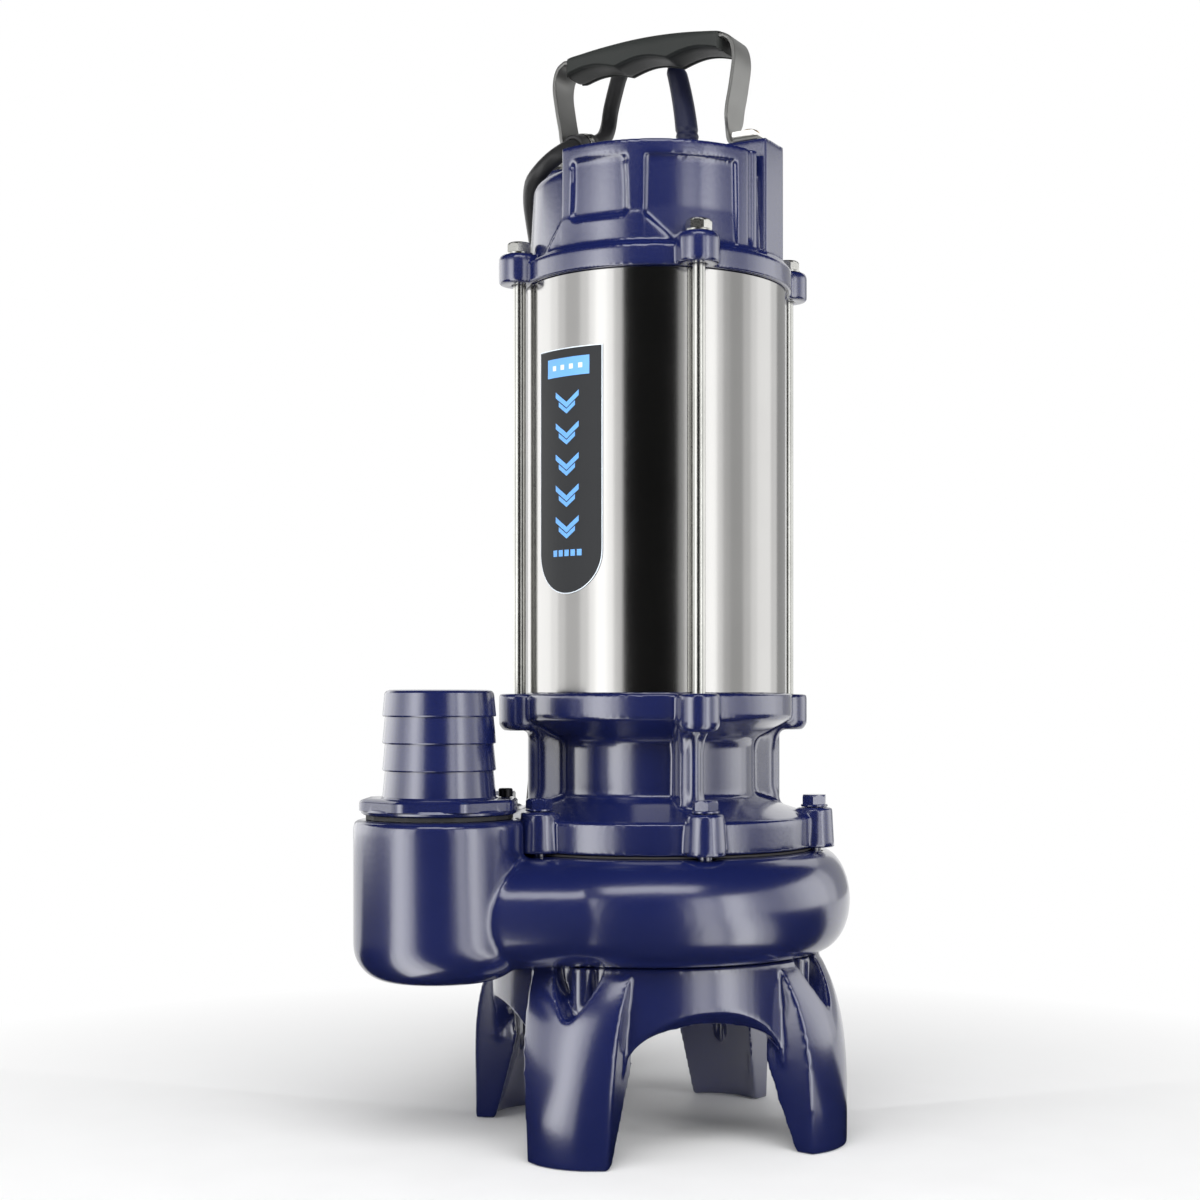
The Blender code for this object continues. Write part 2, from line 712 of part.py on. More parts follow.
def outlet_profile():
    """Outside of the outlet elbow: a round-bottomed upright cylinder."""
    bottom = VOLUTE_BOTTOM - OUTLET_DROP
    profile = [(0.0, OUTLET_TOP), (OUTLET_RADIUS - FIT_GAP * 10, OUTLET_TOP),
               (OUTLET_RADIUS, OUTLET_TOP - FIT_GAP * 10)]
    for index in range(4):
        turn = math.pi / 2 * index / 3
        profile.append((OUTLET_RADIUS - OUTLET_ROUND * (1 - math.cos(turn)),
                        bottom + OUTLET_ROUND * (1 - math.sin(turn))))
    profile.append((0.0, bottom))
    return profile


def build_volute(pump):
    """Spiral casing with its tangential outlet elbow, and the hose barb on it."""
    angles = [-360.0 * index / FINE_STEPS for index in range(FINE_STEPS)]
    shell = lofted([[clock(radius, angle, height) for radius, height in volute_section(angle)]
                    for angle in angles], looped=True)
    outlet = moved(turned(outlet_profile(), MEDIUM_STEPS), (OUTLET_X, OUTLET_Y, 0.0))
    middle = (VOLUTE_BOTTOM + VOLUTE_TOP) / 2
    outside = channel(CHANNEL_HALF_WIDTH, VOLUTE_HEIGHT / 2 - FIT_GAP, middle, HORN_START_SHARE)
    core_radius = PLATE_SEAT_RADIUS + WELD_DEPTH
    core = rod(core_radius, VOLUTE_BOTTOM - CUT_OVERRUN, VOLUTE_TOP + CUT_OVERRUN, FINE_STEPS)
    horn = cut(united(outlet, outside), core)
    solid = united(shell, horn)
    inside_height = (CHAMBER_ROOF - CHAMBER_FLOOR) / 2
    inside_middle = (CHAMBER_ROOF + CHAMBER_FLOOR) / 2
    passage = channel(CHANNEL_HALF_WIDTH - VOLUTE_WALL, inside_height, inside_middle, PASSAGE_START_SHARE)
    bore_bottom = CHAMBER_FLOOR - WELD_DEPTH
    bore = rod(OUTLET_BORE, bore_bottom, OUTLET_TOP + CUT_OVERRUN, MEDIUM_STEPS)
    bore = moved(bore, (OUTLET_X, OUTLET_Y, 0.0))
    solid = cut(solid, united(passage, bore))
    base_hole = rod(M8_RADIUS + FIT_GAP, VOLUTE_BOTTOM - CUT_OVERRUN, VOLUTE_BOTTOM + VOLUTE_WALL * 0.9, HOLE_STEPS)
    holes = [moved(base_hole.copy(), clock(BASE_BOLT_CIRCLE, angle)) for angle in pattern(LEG_ANGLE, LEG_COUNT)]
    lid_hole = rod(M8_RADIUS + FIT_GAP, VOLUTE_TOP - VOLUTE_WALL, VOLUTE_TOP + CUT_OVERRUN, HOLE_STEPS)
    holes += [moved(lid_hole.copy(), clock(LID_BOLT_CIRCLE - WELD_DEPTH, angle))
              for angle in pattern(TIE_BOLT_ANGLE, LID_BOLT_COUNT)]
    screw_hole = rod(LOCK_SCREW_RADIUS + FIT_GAP, OUTLET_TOP - LOCK_SCREW_DEPTH, OUTLET_TOP + CUT_OVERRUN, HOLE_STEPS)
    spot = clock(LOCK_SCREW_CIRCLE, LOCK_SCREW_ANGLE)
    holes.append(moved(screw_hole, (OUTLET_X + spot.x, OUTLET_Y + spot.y, 0.0)))
    boss_room = rod(LID_BOSS_RADIUS + BOSS_CLEARANCE, LID_BOTTOM - FIT_GAP, OUTLET_TOP + CUT_OVERRUN, MEDIUM_STEPS)
    near_boss = pattern(TIE_BOLT_ANGLE, LID_BOLT_COUNT)[-1]
    holes.append(moved(boss_room, clock(LID_BOLT_CIRCLE - WELD_DEPTH, near_boss)))
    node("volute", cut(solid, grouped(holes)), "navy_paint", pump)


def build_barb(pump):
    """Threaded hose barb with its collar, gasket and lock screw."""
    bottom = COLLAR_BOTTOM
    top = bottom + COLLAR_HEIGHT
    foot = BARB_RADIUS + BARB_STEP
    profile = [(0.0, top + BARB_HEIGHT)]
    step = BARB_HEIGHT / BARB_STEP_COUNT
    for index in range(BARB_STEP_COUNT):
        upper = top + BARB_HEIGHT - index * step
        profile += [(BARB_RADIUS - BARB_STEP, upper), (BARB_RADIUS, upper - step + FIT_GAP * 5)]
    profile += [(foot, top), (foot, bottom + COLLAR_LIP / 2), (0.0, bottom + COLLAR_LIP / 2)]
    stem = turned(profile)
    rim = COLLAR_RADIUS - COLLAR_LIP / 3
    lip = turned([(0.0, bottom + COLLAR_LIP), (rim, bottom + COLLAR_LIP), (COLLAR_RADIUS, bottom + COLLAR_LIP / 2),
                  (rim, bottom), (0.0, bottom)])
    corner = COLLAR_FLATS / 2 / math.cos(math.pi / COLLAR_FACETS)
    turns = [2 * math.pi * (index + 0.5) / COLLAR_FACETS for index in range(COLLAR_FACETS)]
    facets = [(corner * math.cos(turn), corner * math.sin(turn)) for turn in turns]
    nut = prism(facets, bottom + COLLAR_LIP * 0.7, top)
    bore = rod(BARB_BORE, bottom - CUT_OVERRUN, top + BARB_HEIGHT + CUT_OVERRUN, MEDIUM_STEPS)
    solid = cut(united(united(lip, nut), stem), bore)
    spot = clock(LOCK_SCREW_CIRCLE, LOCK_SCREW_ANGLE)
    hole = moved(rod(LOCK_SCREW_RADIUS + FIT_GAP, bottom - CUT_OVERRUN, top + CUT_OVERRUN, HOLE_STEPS), spot)
    centre = (OUTLET_X, OUTLET_Y, 0.0)
    node("hose_barb", moved(cut(solid, hole), centre), "navy_paint", pump)

    gasket = tube_ring(OUTLET_BORE, OUTLET_GASKET_RADIUS, OUTLET_TOP + FIT_GAP,
                       OUTLET_TOP + FIT_GAP + OUTLET_GASKET_THICKNESS)
    gasket_hole = rod(LOCK_SCREW_RADIUS + FIT_GAP, OUTLET_TOP - CUT_OVERRUN, bottom + CUT_OVERRUN, HOLE_STEPS)
    gasket_hole = moved(gasket_hole, spot)
    node("outlet_gasket", moved(cut(gasket, gasket_hole), centre), "black_rubber", pump)

    reach = COLLAR_HEIGHT + OUTLET_GASKET_THICKNESS + LOCK_SCREW_DEPTH * 0.8
    screw = turned([(0.0, LOCK_SCREW_HEAD), (LOCK_SCREW_HEAD_RADIUS, LOCK_SCREW_HEAD), (LOCK_SCREW_HEAD_RADIUS, 0.0),
                    (LOCK_SCREW_RADIUS, 0.0), (LOCK_SCREW_RADIUS, -reach), (0.0, -reach)], HOLE_STEPS)
    place = (OUTLET_X + spot.x, OUTLET_Y + spot.y, top + FIT_GAP)
    node("outlet_lock_screw", moved(screw, place), "black_steel", pump)


# Oil chamber


def build_lid(pump):
    """Oil chamber casting between volute and motor, with ribs, bosses and tie-bolt lugs."""
    tie_angles = pattern(TIE_BOLT_ANGLE, TIE_BOLT_COUNT)
    bolt_angles = pattern(TIE_BOLT_ANGLE, LID_BOLT_COUNT)
    spigot_radius = JACKET_BORE - FIT_GAP
    hub = LOWER_BEARING_RADIUS + FIT_GAP
    hub_wall = hub + SPIGOT_WALL * 1.5
    web = LOWER_BEARING_BOTTOM + LOWER_BEARING_HEIGHT / 3
    seat = LOWER_BEARING_BOTTOM - FIT_GAP
    lip = SEAL_PLATE_BORE
    groove = spigot_radius - SEAL_RING
    profile = [(LID_FLANGE_RADIUS, LID_FLANGE_TOP), (LID_FLANGE_RADIUS, LID_BOTTOM),
               (PLATE_SEAT_RADIUS - SEAL_RING, LID_BOTTOM), (OIL_RADIUS, LID_FLANGE_TOP),
               (OIL_RADIUS, OIL_TOP), (lip, OIL_TOP), (lip, seat), (hub, seat),
               (hub, LOWER_BEARING_TOP + FIT_GAP), (hub_wall, LOWER_BEARING_TOP + FIT_GAP), (hub_wall, web),
               (groove - SPIGOT_WALL, web), (groove - SPIGOT_WALL, LID_TOP + SPIGOT_HEIGHT),
               (groove, LID_TOP + SPIGOT_HEIGHT), (groove, LID_TOP + SPIGOT_HEIGHT - SEAL_RING),
               (spigot_radius, LID_TOP + SPIGOT_HEIGHT - SEAL_RING), (spigot_radius, LID_TOP),
               (LID_TOP_RADIUS, LID_TOP), (LID_TOP_RADIUS, LID_RIM_BOTTOM), (NECK_RADIUS + NECK_FLARE / 3, NECK_TOP),
               (NECK_RADIUS, NECK_TOP - NECK_FLARE / 2), (NECK_RADIUS, NECK_BOTTOM + LID_CONE_HEIGHT / 4),
               (NECK_RADIUS + LID_CONE_HEIGHT / 2, NECK_BOTTOM)]
    solid = turned(profile, FINE_STEPS)
    rib_inner = (OIL_RADIUS + NECK_RADIUS) / 2
    rib_middle = (rib_inner + LID_RIB_RADIUS) / 2
    rib = moved(block(LID_RIB_RADIUS - rib_inner, LID_RIB_HALF_WIDTH * 2, LID_FLANGE_TOP - WELD_DEPTH,
                      LID_TOP - LID_TOP_HEIGHT / 2), (rib_middle, 0.0, 0.0))
    ribs = [moved(rib.copy(), turn=facing(angle)) for angle in tie_angles]
    solid = united(solid, grouped(ribs))
    lug = rod(LID_LUG_RADIUS, LID_RIM_BOTTOM - LID_LUG_DROP, LID_TOP - FIT_GAP, BOSS_STEPS)
    solid = united(solid, grouped([moved(lug.copy(), clock(TIE_BOLT_CIRCLE, angle)) for angle in tie_angles]))
    boss_top = LID_BOTTOM + LID_BOSS_HEIGHT
    boss = rod(LID_BOSS_RADIUS, LID_BOTTOM + FIT_GAP, boss_top, BOSS_STEPS)
    circle_radius = LID_BOLT_CIRCLE - WELD_DEPTH
    solid = united(solid, grouped([moved(boss.copy(), clock(circle_radius, angle)) for angle in bolt_angles]))
    tie_hole = rod(TIE_ROD_RADIUS + FIT_GAP, LID_RIM_BOTTOM - LID_LUG_DROP * 2, LID_TOP + CUT_OVERRUN, HOLE_STEPS)
    lid_hole = rod(M8_RADIUS + FIT_GAP, LID_BOTTOM - CUT_OVERRUN, boss_top + CUT_OVERRUN, HOLE_STEPS)
    holes = [moved(tie_hole.copy(), clock(TIE_BOLT_CIRCLE, angle)) for angle in tie_angles]
    holes += [moved(lid_hole.copy(), clock(circle_radius, angle)) for angle in bolt_angles]
    plug_height = (NECK_BOTTOM + NECK_TOP) / 2
    across = Matrix.Rotation(math.radians(90.0), 4, "Y")
    plug_hole = moved(rod(M8_RADIUS + FIT_GAP, OIL_RADIUS - CUT_OVERRUN * 2, NECK_RADIUS + CUT_OVERRUN * 4, 12),
                      turn=facing(OIL_PLUG_ANGLE) @ across)
    holes.append(moved(plug_hole, (0.0, 0.0, plug_height)))
    node("oil_chamber", cut(solid, grouped(holes)), "navy_paint", pump)

    length = LID_BOSS_HEIGHT + VOLUTE_GASKET_THICKNESS + VOLUTE_WALL * 0.7
    for index, angle in enumerate(bolt_angles):
        place = clock(circle_radius, angle, boss_top + FIT_GAP)
        node(f"volute_bolt_{index + 1}", moved(bolt(M8_RADIUS, length), place), "navy_paint", pump)

    gasket = tube_ring(PLATE_SEAT_RADIUS + FIT_GAP, LID_FLANGE_RADIUS, VOLUTE_TOP + FIT_GAP,
                       VOLUTE_TOP + FIT_GAP + VOLUTE_GASKET_THICKNESS, FINE_STEPS)
    relief = rod(M8_RADIUS + 2 * FIT_GAP, VOLUTE_TOP, LID_BOTTOM, HOLE_STEPS)
    reliefs = [moved(relief.copy(), clock(circle_radius, angle)) for angle in bolt_angles]
    node("volute_gasket", cut(gasket, grouped(reliefs)), "gasket", pump)

    plug = bolt(M8_RADIUS, NECK_RADIUS - OIL_RADIUS - FIT_GAP)
    spot = clock(NECK_RADIUS + FIT_GAP * 2, OIL_PLUG_ANGLE, plug_height)
    node("oil_plug", moved(plug, spot, facing(OIL_PLUG_ANGLE) @ across), "brass", pump)


# Motor


def build_motor(pump):
    """Stainless jacket, stator, bearing bracket and the tie bolts that hold them."""
    node("motor_jacket", tube_ring(JACKET_BORE, JACKET_RADIUS, JACKET_BOTTOM, JACKET_TOP, FINE_STEPS),
         "stainless", pump)
    spigot_radius = JACKET_BORE - FIT_GAP
    groove = spigot_radius - SEAL_RING + FIT_GAP
    spigot_top = LID_TOP + SPIGOT_HEIGHT
    node("lower_jacket_seal", tube_ring(groove, spigot_radius, spigot_top - SEAL_RING + FIT_GAP, spigot_top,
                                        FINE_STEPS), "black_rubber", pump)
    node("upper_jacket_seal", tube_ring(groove, spigot_radius, BRACKET_TOP - SEAL_RING + FIT_GAP, BRACKET_TOP,
                                        FINE_STEPS), "black_rubber", pump)

    core = tube_ring(STATOR_BORE, JACKET_BORE - FIT_GAP, STATOR_BASE, STATOR_TOP, FINE_STEPS)
    pitch = 360.0 / STATOR_SLOTS
    slots = [sector(STATOR_BORE - CUT_OVERRUN, STATOR_BORE + STATOR_SLOT_DEPTH,
                    angle - pitch * STATOR_SLOT_SHARE / 2, angle + pitch * STATOR_SLOT_SHARE / 2,
                    STATOR_BASE - CUT_OVERRUN, STATOR_TOP + CUT_OVERRUN, 1)
             for angle in pattern(0.0, STATOR_SLOTS)]
    node("stator_core", cut(core, grouped(slots)), "lamination", pump)

    edge = (WINDING_OUTER - WINDING_INNER) / 4
    for name, near, far in (("lower_winding", STATOR_BASE - FIT_GAP, STATOR_BASE - WINDING_HEIGHT),
                            ("upper_winding", STATOR_TOP + FIT_GAP, STATOR_TOP + WINDING_HEIGHT)):
        inset = edge if far > near else -edge
        profile = [(WINDING_INNER, near), (WINDING_OUTER, near), (WINDING_OUTER, far - inset),
                   (WINDING_OUTER - edge, far), (WINDING_INNER + edge, far), (WINDING_INNER, far - inset)]
        node(name, turned(profile, MEDIUM_STEPS), "copper", pump)

    hub_bore = UPPER_BEARING_RADIUS + FIT_GAP
    hub_outer = hub_bore + BRACKET_HUB_WALL
    hub_bottom = UPPER_BEARING_BOTTOM - WAVE_WASHER - 3 * FIT_GAP
    floor = hub_bottom - BRACKET_PLATE * 0.6
    plate_top = BRACKET_BOTTOM + BRACKET_PLATE
    rim = spigot_radius - SEAL_RING - SPIGOT_WALL
    profile = [(spigot_radius, BRACKET_TOP - SEAL_RING), (spigot_radius, BRACKET_BOTTOM),
               (hub_outer, BRACKET_BOTTOM), (hub_outer, floor), (SHAFT_CORE_RADIUS, floor),
               (SHAFT_CORE_RADIUS, hub_bottom), (hub_bore, hub_bottom), (hub_bore, UPPER_BEARING_TOP),
               (hub_outer, UPPER_BEARING_TOP), (hub_outer, plate_top), (rim, plate_top), (rim, BRACKET_TOP),
               (spigot_radius - SEAL_RING, BRACKET_TOP), (spigot_radius - SEAL_RING, BRACKET_TOP - SEAL_RING)]
    bracket = turned(profile, FINE_STEPS)
    window_circle = (hub_outer + rim) / 2
    window = rod(BRACKET_WINDOW_RADIUS, BRACKET_BOTTOM - CUT_OVERRUN, BRACKET_TOP, BOSS_STEPS)
    windows = [moved(window.copy(), clock(window_circle, angle))
               for angle in pattern(BRACKET_WINDOW_ANGLE, BRACKET_WINDOW_COUNT)]
    node("upper_bearing_bracket", cut(bracket, grouped(windows)), "grey_iron", pump)

    node("wave_washer", tube_ring(UPPER_BEARING_BORE + UPPER_BEARING_RADIUS * 0.3, UPPER_BEARING_RADIUS,
                                  UPPER_BEARING_BOTTOM - FIT_GAP - WAVE_WASHER, UPPER_BEARING_BOTTOM - FIT_GAP,
                                  COARSE_STEPS), "ground_steel", pump)

    angles = pattern(TIE_BOLT_ANGLE, TIE_BOLT_COUNT)
    lug_top = COVER_BOTTOM + COVER_LUG_HEIGHT
    length = lug_top + FIT_GAP - (LID_RIM_BOTTOM - LID_LUG_DROP)
    for index, angle in enumerate(angles):
        place = clock(TIE_BOLT_CIRCLE, angle, lug_top + FIT_GAP)
        node(f"tie_bolt_{index + 1}", moved(bolt(TIE_ROD_RADIUS, length), place), "zinc", pump)

    angles = [LABEL_START + (LABEL_END - LABEL_START) * index / LABEL_STEPS for index in range(LABEL_STEPS + 1)]
    middle = (LABEL_START + LABEL_END) / 2
    half = (LABEL_END - LABEL_START) / 2
    inner = JACKET_RADIUS + FIT_GAP
    depth = math.radians(half) * JACKET_RADIUS
    rings = []
    for angle in angles:
        share = (angle - middle) / half
        top = JACKET_BOTTOM + LABEL_TOP
        bottom = top - LABEL_HEIGHT + depth * (1 - math.sqrt(max(0.0, 1 - share * share)))
        rings.append([clock(inner, angle, bottom), clock(inner + LABEL_THICKNESS, angle, bottom),
                      clock(inner + LABEL_THICKNESS, angle, top), clock(inner, angle, top)])
    node("label_plate", lofted(rings), "label_dark", pump)


# Rotor


def bearing(prefix, bore, radius, height, bottom, pump, rotor, balls):
    """Ball bearing: an outer ring in the housing, an inner ring on the shaft and balls between."""
    wall = (radius - bore) * BEARING_RING_SHARE
    pitch = (radius + bore) / 2
    ball = (radius - bore) * BALL_SHARE
    top = bottom + height
    middle = (bottom + top) / 2
    groove = ball + FIT_GAP - (pitch - bore - FIT_GAP - wall)
    half = height / 4
    inner_face = bore + FIT_GAP + wall
    outer_face = radius - wall
    inner = [(inner_face, top), (inner_face, middle + half), (inner_face - groove, middle), (inner_face, middle - half),
             (inner_face, bottom), (bore + FIT_GAP, bottom), (bore + FIT_GAP, top)]
    outer = [(radius, top), (radius, bottom), (outer_face, bottom), (outer_face, middle - half),
             (outer_face + groove, middle), (outer_face, middle + half), (outer_face, top)]
    node(prefix + "_bearing_inner_ring", turned(inner, COARSE_STEPS), "ground_steel", rotor)
    node(prefix + "_bearing_outer_ring", turned(outer, COARSE_STEPS), "ground_steel", pump)
    link = ball * CAGE_SHARE
    cage = tube_ring(pitch - link, pitch + link, middle - link, middle + link, COARSE_STEPS)
    spheres = []
    for angle in pattern(0.0, BALL_COUNT):
        sphere = bmesh.new()
        bmesh.ops.create_uvsphere(sphere, u_segments=BALL_SEGMENTS, v_segments=BALL_SEGMENTS // 2 + 1,
                                  radius=ball - FIT_GAP)
        spheres.append(moved(sphere, clock(pitch, angle, middle)))
    node(prefix + "_bearing_balls", united(cage, grouped(spheres)), "ground_steel", balls)


def spring(radius, wire, bottom, top):
    """Coil spring with its wire's middle between bottom and top."""
    count = SPRING_TURNS * SPRING_STEPS
    rings = []
    for index in range(count + 1):
        turn = 2 * math.pi * index / SPRING_STEPS
        height = bottom + wire / 2 + (top - bottom - wire) * index / count
        outward = Vector((math.cos(turn), math.sin(turn), 0.0))
        ring = []
        for side in range(SPRING_SIDES):
            spin = 2 * math.pi * side / SPRING_SIDES
            ring.append(outward * (radius + wire / 2 * math.cos(spin)) + Vector((0.0, 0.0, height + wire / 2 * math.sin(spin))))
        rings.append(ring)
    return lofted(rings)


def build_seals(pump, rotor):
    """Seal plate under the oil chamber and the double mechanical seal on the shaft."""
    plate = turned([(PLATE_SEAT_RADIUS - FIT_GAP, PLATE_TOP), (PLATE_SEAT_RADIUS - FIT_GAP, PLATE_BOTTOM),
                    (SEAL_PLATE_BORE, PLATE_BOTTOM), (SEAL_PLATE_BORE, PLATE_TOP)], FINE_STEPS)
    node("seal_plate", plate, "grey_iron", pump)
    clear = SHAFT_SEAL_RADIUS + FIT_GAP * 2
    seat_outer = SEAL_PLATE_BORE - FIT_GAP
    low = SEAL_LOW
    high = SEAL_HIGH
    node("lower_seal_seat", tube_ring(clear, seat_outer, low - SEAT_RING_HEIGHT, low, COARSE_STEPS), "carbon", pump)
    node("upper_seal_seat", tube_ring(clear, seat_outer, high, high + SEAT_RING_HEIGHT, COARSE_STEPS), "carbon", pump)
    on_shaft = SHAFT_SEAL_RADIUS + FIT_GAP
    low_head = low + FIT_GAP
    high_head = high - FIT_GAP - SEAL_HEAD_HEIGHT
    for name, bottom in (("lower_seal_head", low_head), ("upper_seal_head", high_head)):
        node(name, tube_ring(on_shaft, SEAL_HEAD_RADIUS, bottom, bottom + SEAL_HEAD_HEIGHT, COARSE_STEPS),
             "ground_steel", rotor)
    coil = spring(SPRING_RADIUS, SPRING_WIRE, low_head + SEAL_HEAD_HEIGHT + FIT_GAP, high_head - FIT_GAP)
    node("seal_spring", coil, "ground_steel", rotor)


def vane(angle):
    """One curved impeller vane, swept back from the hub to the rim."""
    outline_near, outline_far = [], []
    for index in range(VANE_STEPS + 1):
        share = index / VANE_STEPS
        radius = VANE_START + (IMPELLER_RADIUS - FIT_GAP - VANE_START) * share
        lean = VANE_THICKNESS / 2 / radius * 57.3
        outline_near.append(clock(radius, angle + VANE_SWEEP * share + lean))
        outline_far.append(clock(radius, angle + VANE_SWEEP * share - lean))
    outline = [(point.x, point.y) for point in outline_near + outline_far[::-1]]
    return prism(outline, VANE_BOTTOM, IMPELLER_TOP - IMPELLER_SHROUD / 2)


def build_rotor(pump, rotor, balls):
    """Shaft with the squirrel-cage core, bearings, impeller, key and nut."""
    core_bottom = LOWER_BEARING_TOP + FIT_GAP
    core_top = UPPER_BEARING_BOTTOM - FIT_GAP
    end_top = UPPER_BEARING_TOP + FIT_GAP
    shoulder = IMPELLER_TOP + FIT_GAP
    profile = [(0.0, end_top), (UPPER_BEARING_BORE, end_top), (UPPER_BEARING_BORE, core_top),
               (UPPER_BEARING_BORE * 1.25, core_top), (UPPER_BEARING_BORE * 1.25, core_top - BRACKET_PLATE * 2),
               (SHAFT_CORE_RADIUS, core_top - BRACKET_PLATE * 2), (SHAFT_CORE_RADIUS, core_bottom),
               (LOWER_BEARING_BORE, core_bottom), (LOWER_BEARING_BORE, LOWER_BEARING_BOTTOM - FIT_GAP),
               (SHAFT_SEAL_RADIUS, LOWER_BEARING_BOTTOM - FIT_GAP), (SHAFT_SEAL_RADIUS, shoulder),
               (SHAFT_END_RADIUS, shoulder), (SHAFT_END_RADIUS, VANE_BOTTOM), (0.0, VANE_BOTTOM)]
    key_bottom = HUB_BOTTOM + KEY_LENGTH / 4
    key_top = key_bottom + KEY_LENGTH
    slot = moved(block(KEY_HEIGHT + FIT_GAP, KEY_WIDTH + 2 * FIT_GAP, key_bottom - FIT_GAP, key_top + FIT_GAP),
                 (SHAFT_END_RADIUS, 0.0, 0.0))
    node("shaft", cut(turned(profile, COARSE_STEPS), slot), "ground_steel", rotor)
    key = moved(block(KEY_HEIGHT - FIT_GAP, KEY_WIDTH, key_bottom, key_top), (SHAFT_END_RADIUS, 0.0, 0.0))
    node("impeller_key", key, "ground_steel", rotor)

    bore = SHAFT_CORE_RADIUS + FIT_GAP
    ring_inner = ROTOR_RADIUS - END_RING_WALL
    low_end = STATOR_BASE - END_RING_HEIGHT
    high_end = STATOR_TOP + END_RING_HEIGHT
    profile = [(ROTOR_RADIUS, high_end), (ROTOR_RADIUS, low_end), (ring_inner, low_end), (ring_inner, STATOR_BASE),
               (bore, STATOR_BASE), (bore, STATOR_TOP), (ring_inner, STATOR_TOP), (ring_inner, high_end)]
    node("rotor_core", turned(profile), "lamination", rotor)
    bearing("lower", LOWER_BEARING_BORE, LOWER_BEARING_RADIUS, LOWER_BEARING_HEIGHT, LOWER_BEARING_BOTTOM,
            pump, rotor, balls)
    bearing("upper", UPPER_BEARING_BORE, UPPER_BEARING_RADIUS, UPPER_BEARING_HEIGHT, UPPER_BEARING_BOTTOM,
            pump, rotor, balls)

    hub_bore = SHAFT_END_RADIUS + FIT_GAP
    shroud_bottom = IMPELLER_TOP - IMPELLER_SHROUD
    wheel = turned([(IMPELLER_RADIUS, IMPELLER_TOP), (IMPELLER_RADIUS, shroud_bottom), (HUB_RADIUS * 1.4, shroud_bottom),
                    (HUB_RADIUS, shroud_bottom - IMPELLER_SHROUD), (HUB_RADIUS, HUB_BOTTOM), (hub_bore, HUB_BOTTOM),
                    (hub_bore, IMPELLER_TOP)], FINE_STEPS)
    wheel = united(wheel, grouped([vane(angle) for angle in pattern(0.0, VANE_COUNT)]))
    keyway = moved(block(KEY_HEIGHT + FIT_GAP, KEY_WIDTH + 2 * FIT_GAP, HUB_BOTTOM - CUT_OVERRUN, key_top + FIT_GAP),
                   (SHAFT_END_RADIUS, 0.0, 0.0))
    node("impeller", cut(wheel, keyway), "grey_iron", rotor)
    nut = cut(lofted([hexagon(NUT_FLATS, VANE_BOTTOM), hexagon(NUT_FLATS, HUB_BOTTOM - FIT_GAP)]),
              rod(SHAFT_END_RADIUS + FIT_GAP, VANE_BOTTOM - CUT_OVERRUN, HUB_BOTTOM + CUT_OVERRUN, COARSE_STEPS))
    node("impeller_nut", nut, "zinc", rotor)


# Cover


def clamp_turn():
    """Turn that brings +Z along the cable clamp's axis."""
    heading = Vector((BUSH_HEADING_X, BUSH_HEADING_Y, BUSH_HEADING_Z)).normalized()
    return heading.to_track_quat("Z", "Y").to_matrix().to_4x4()


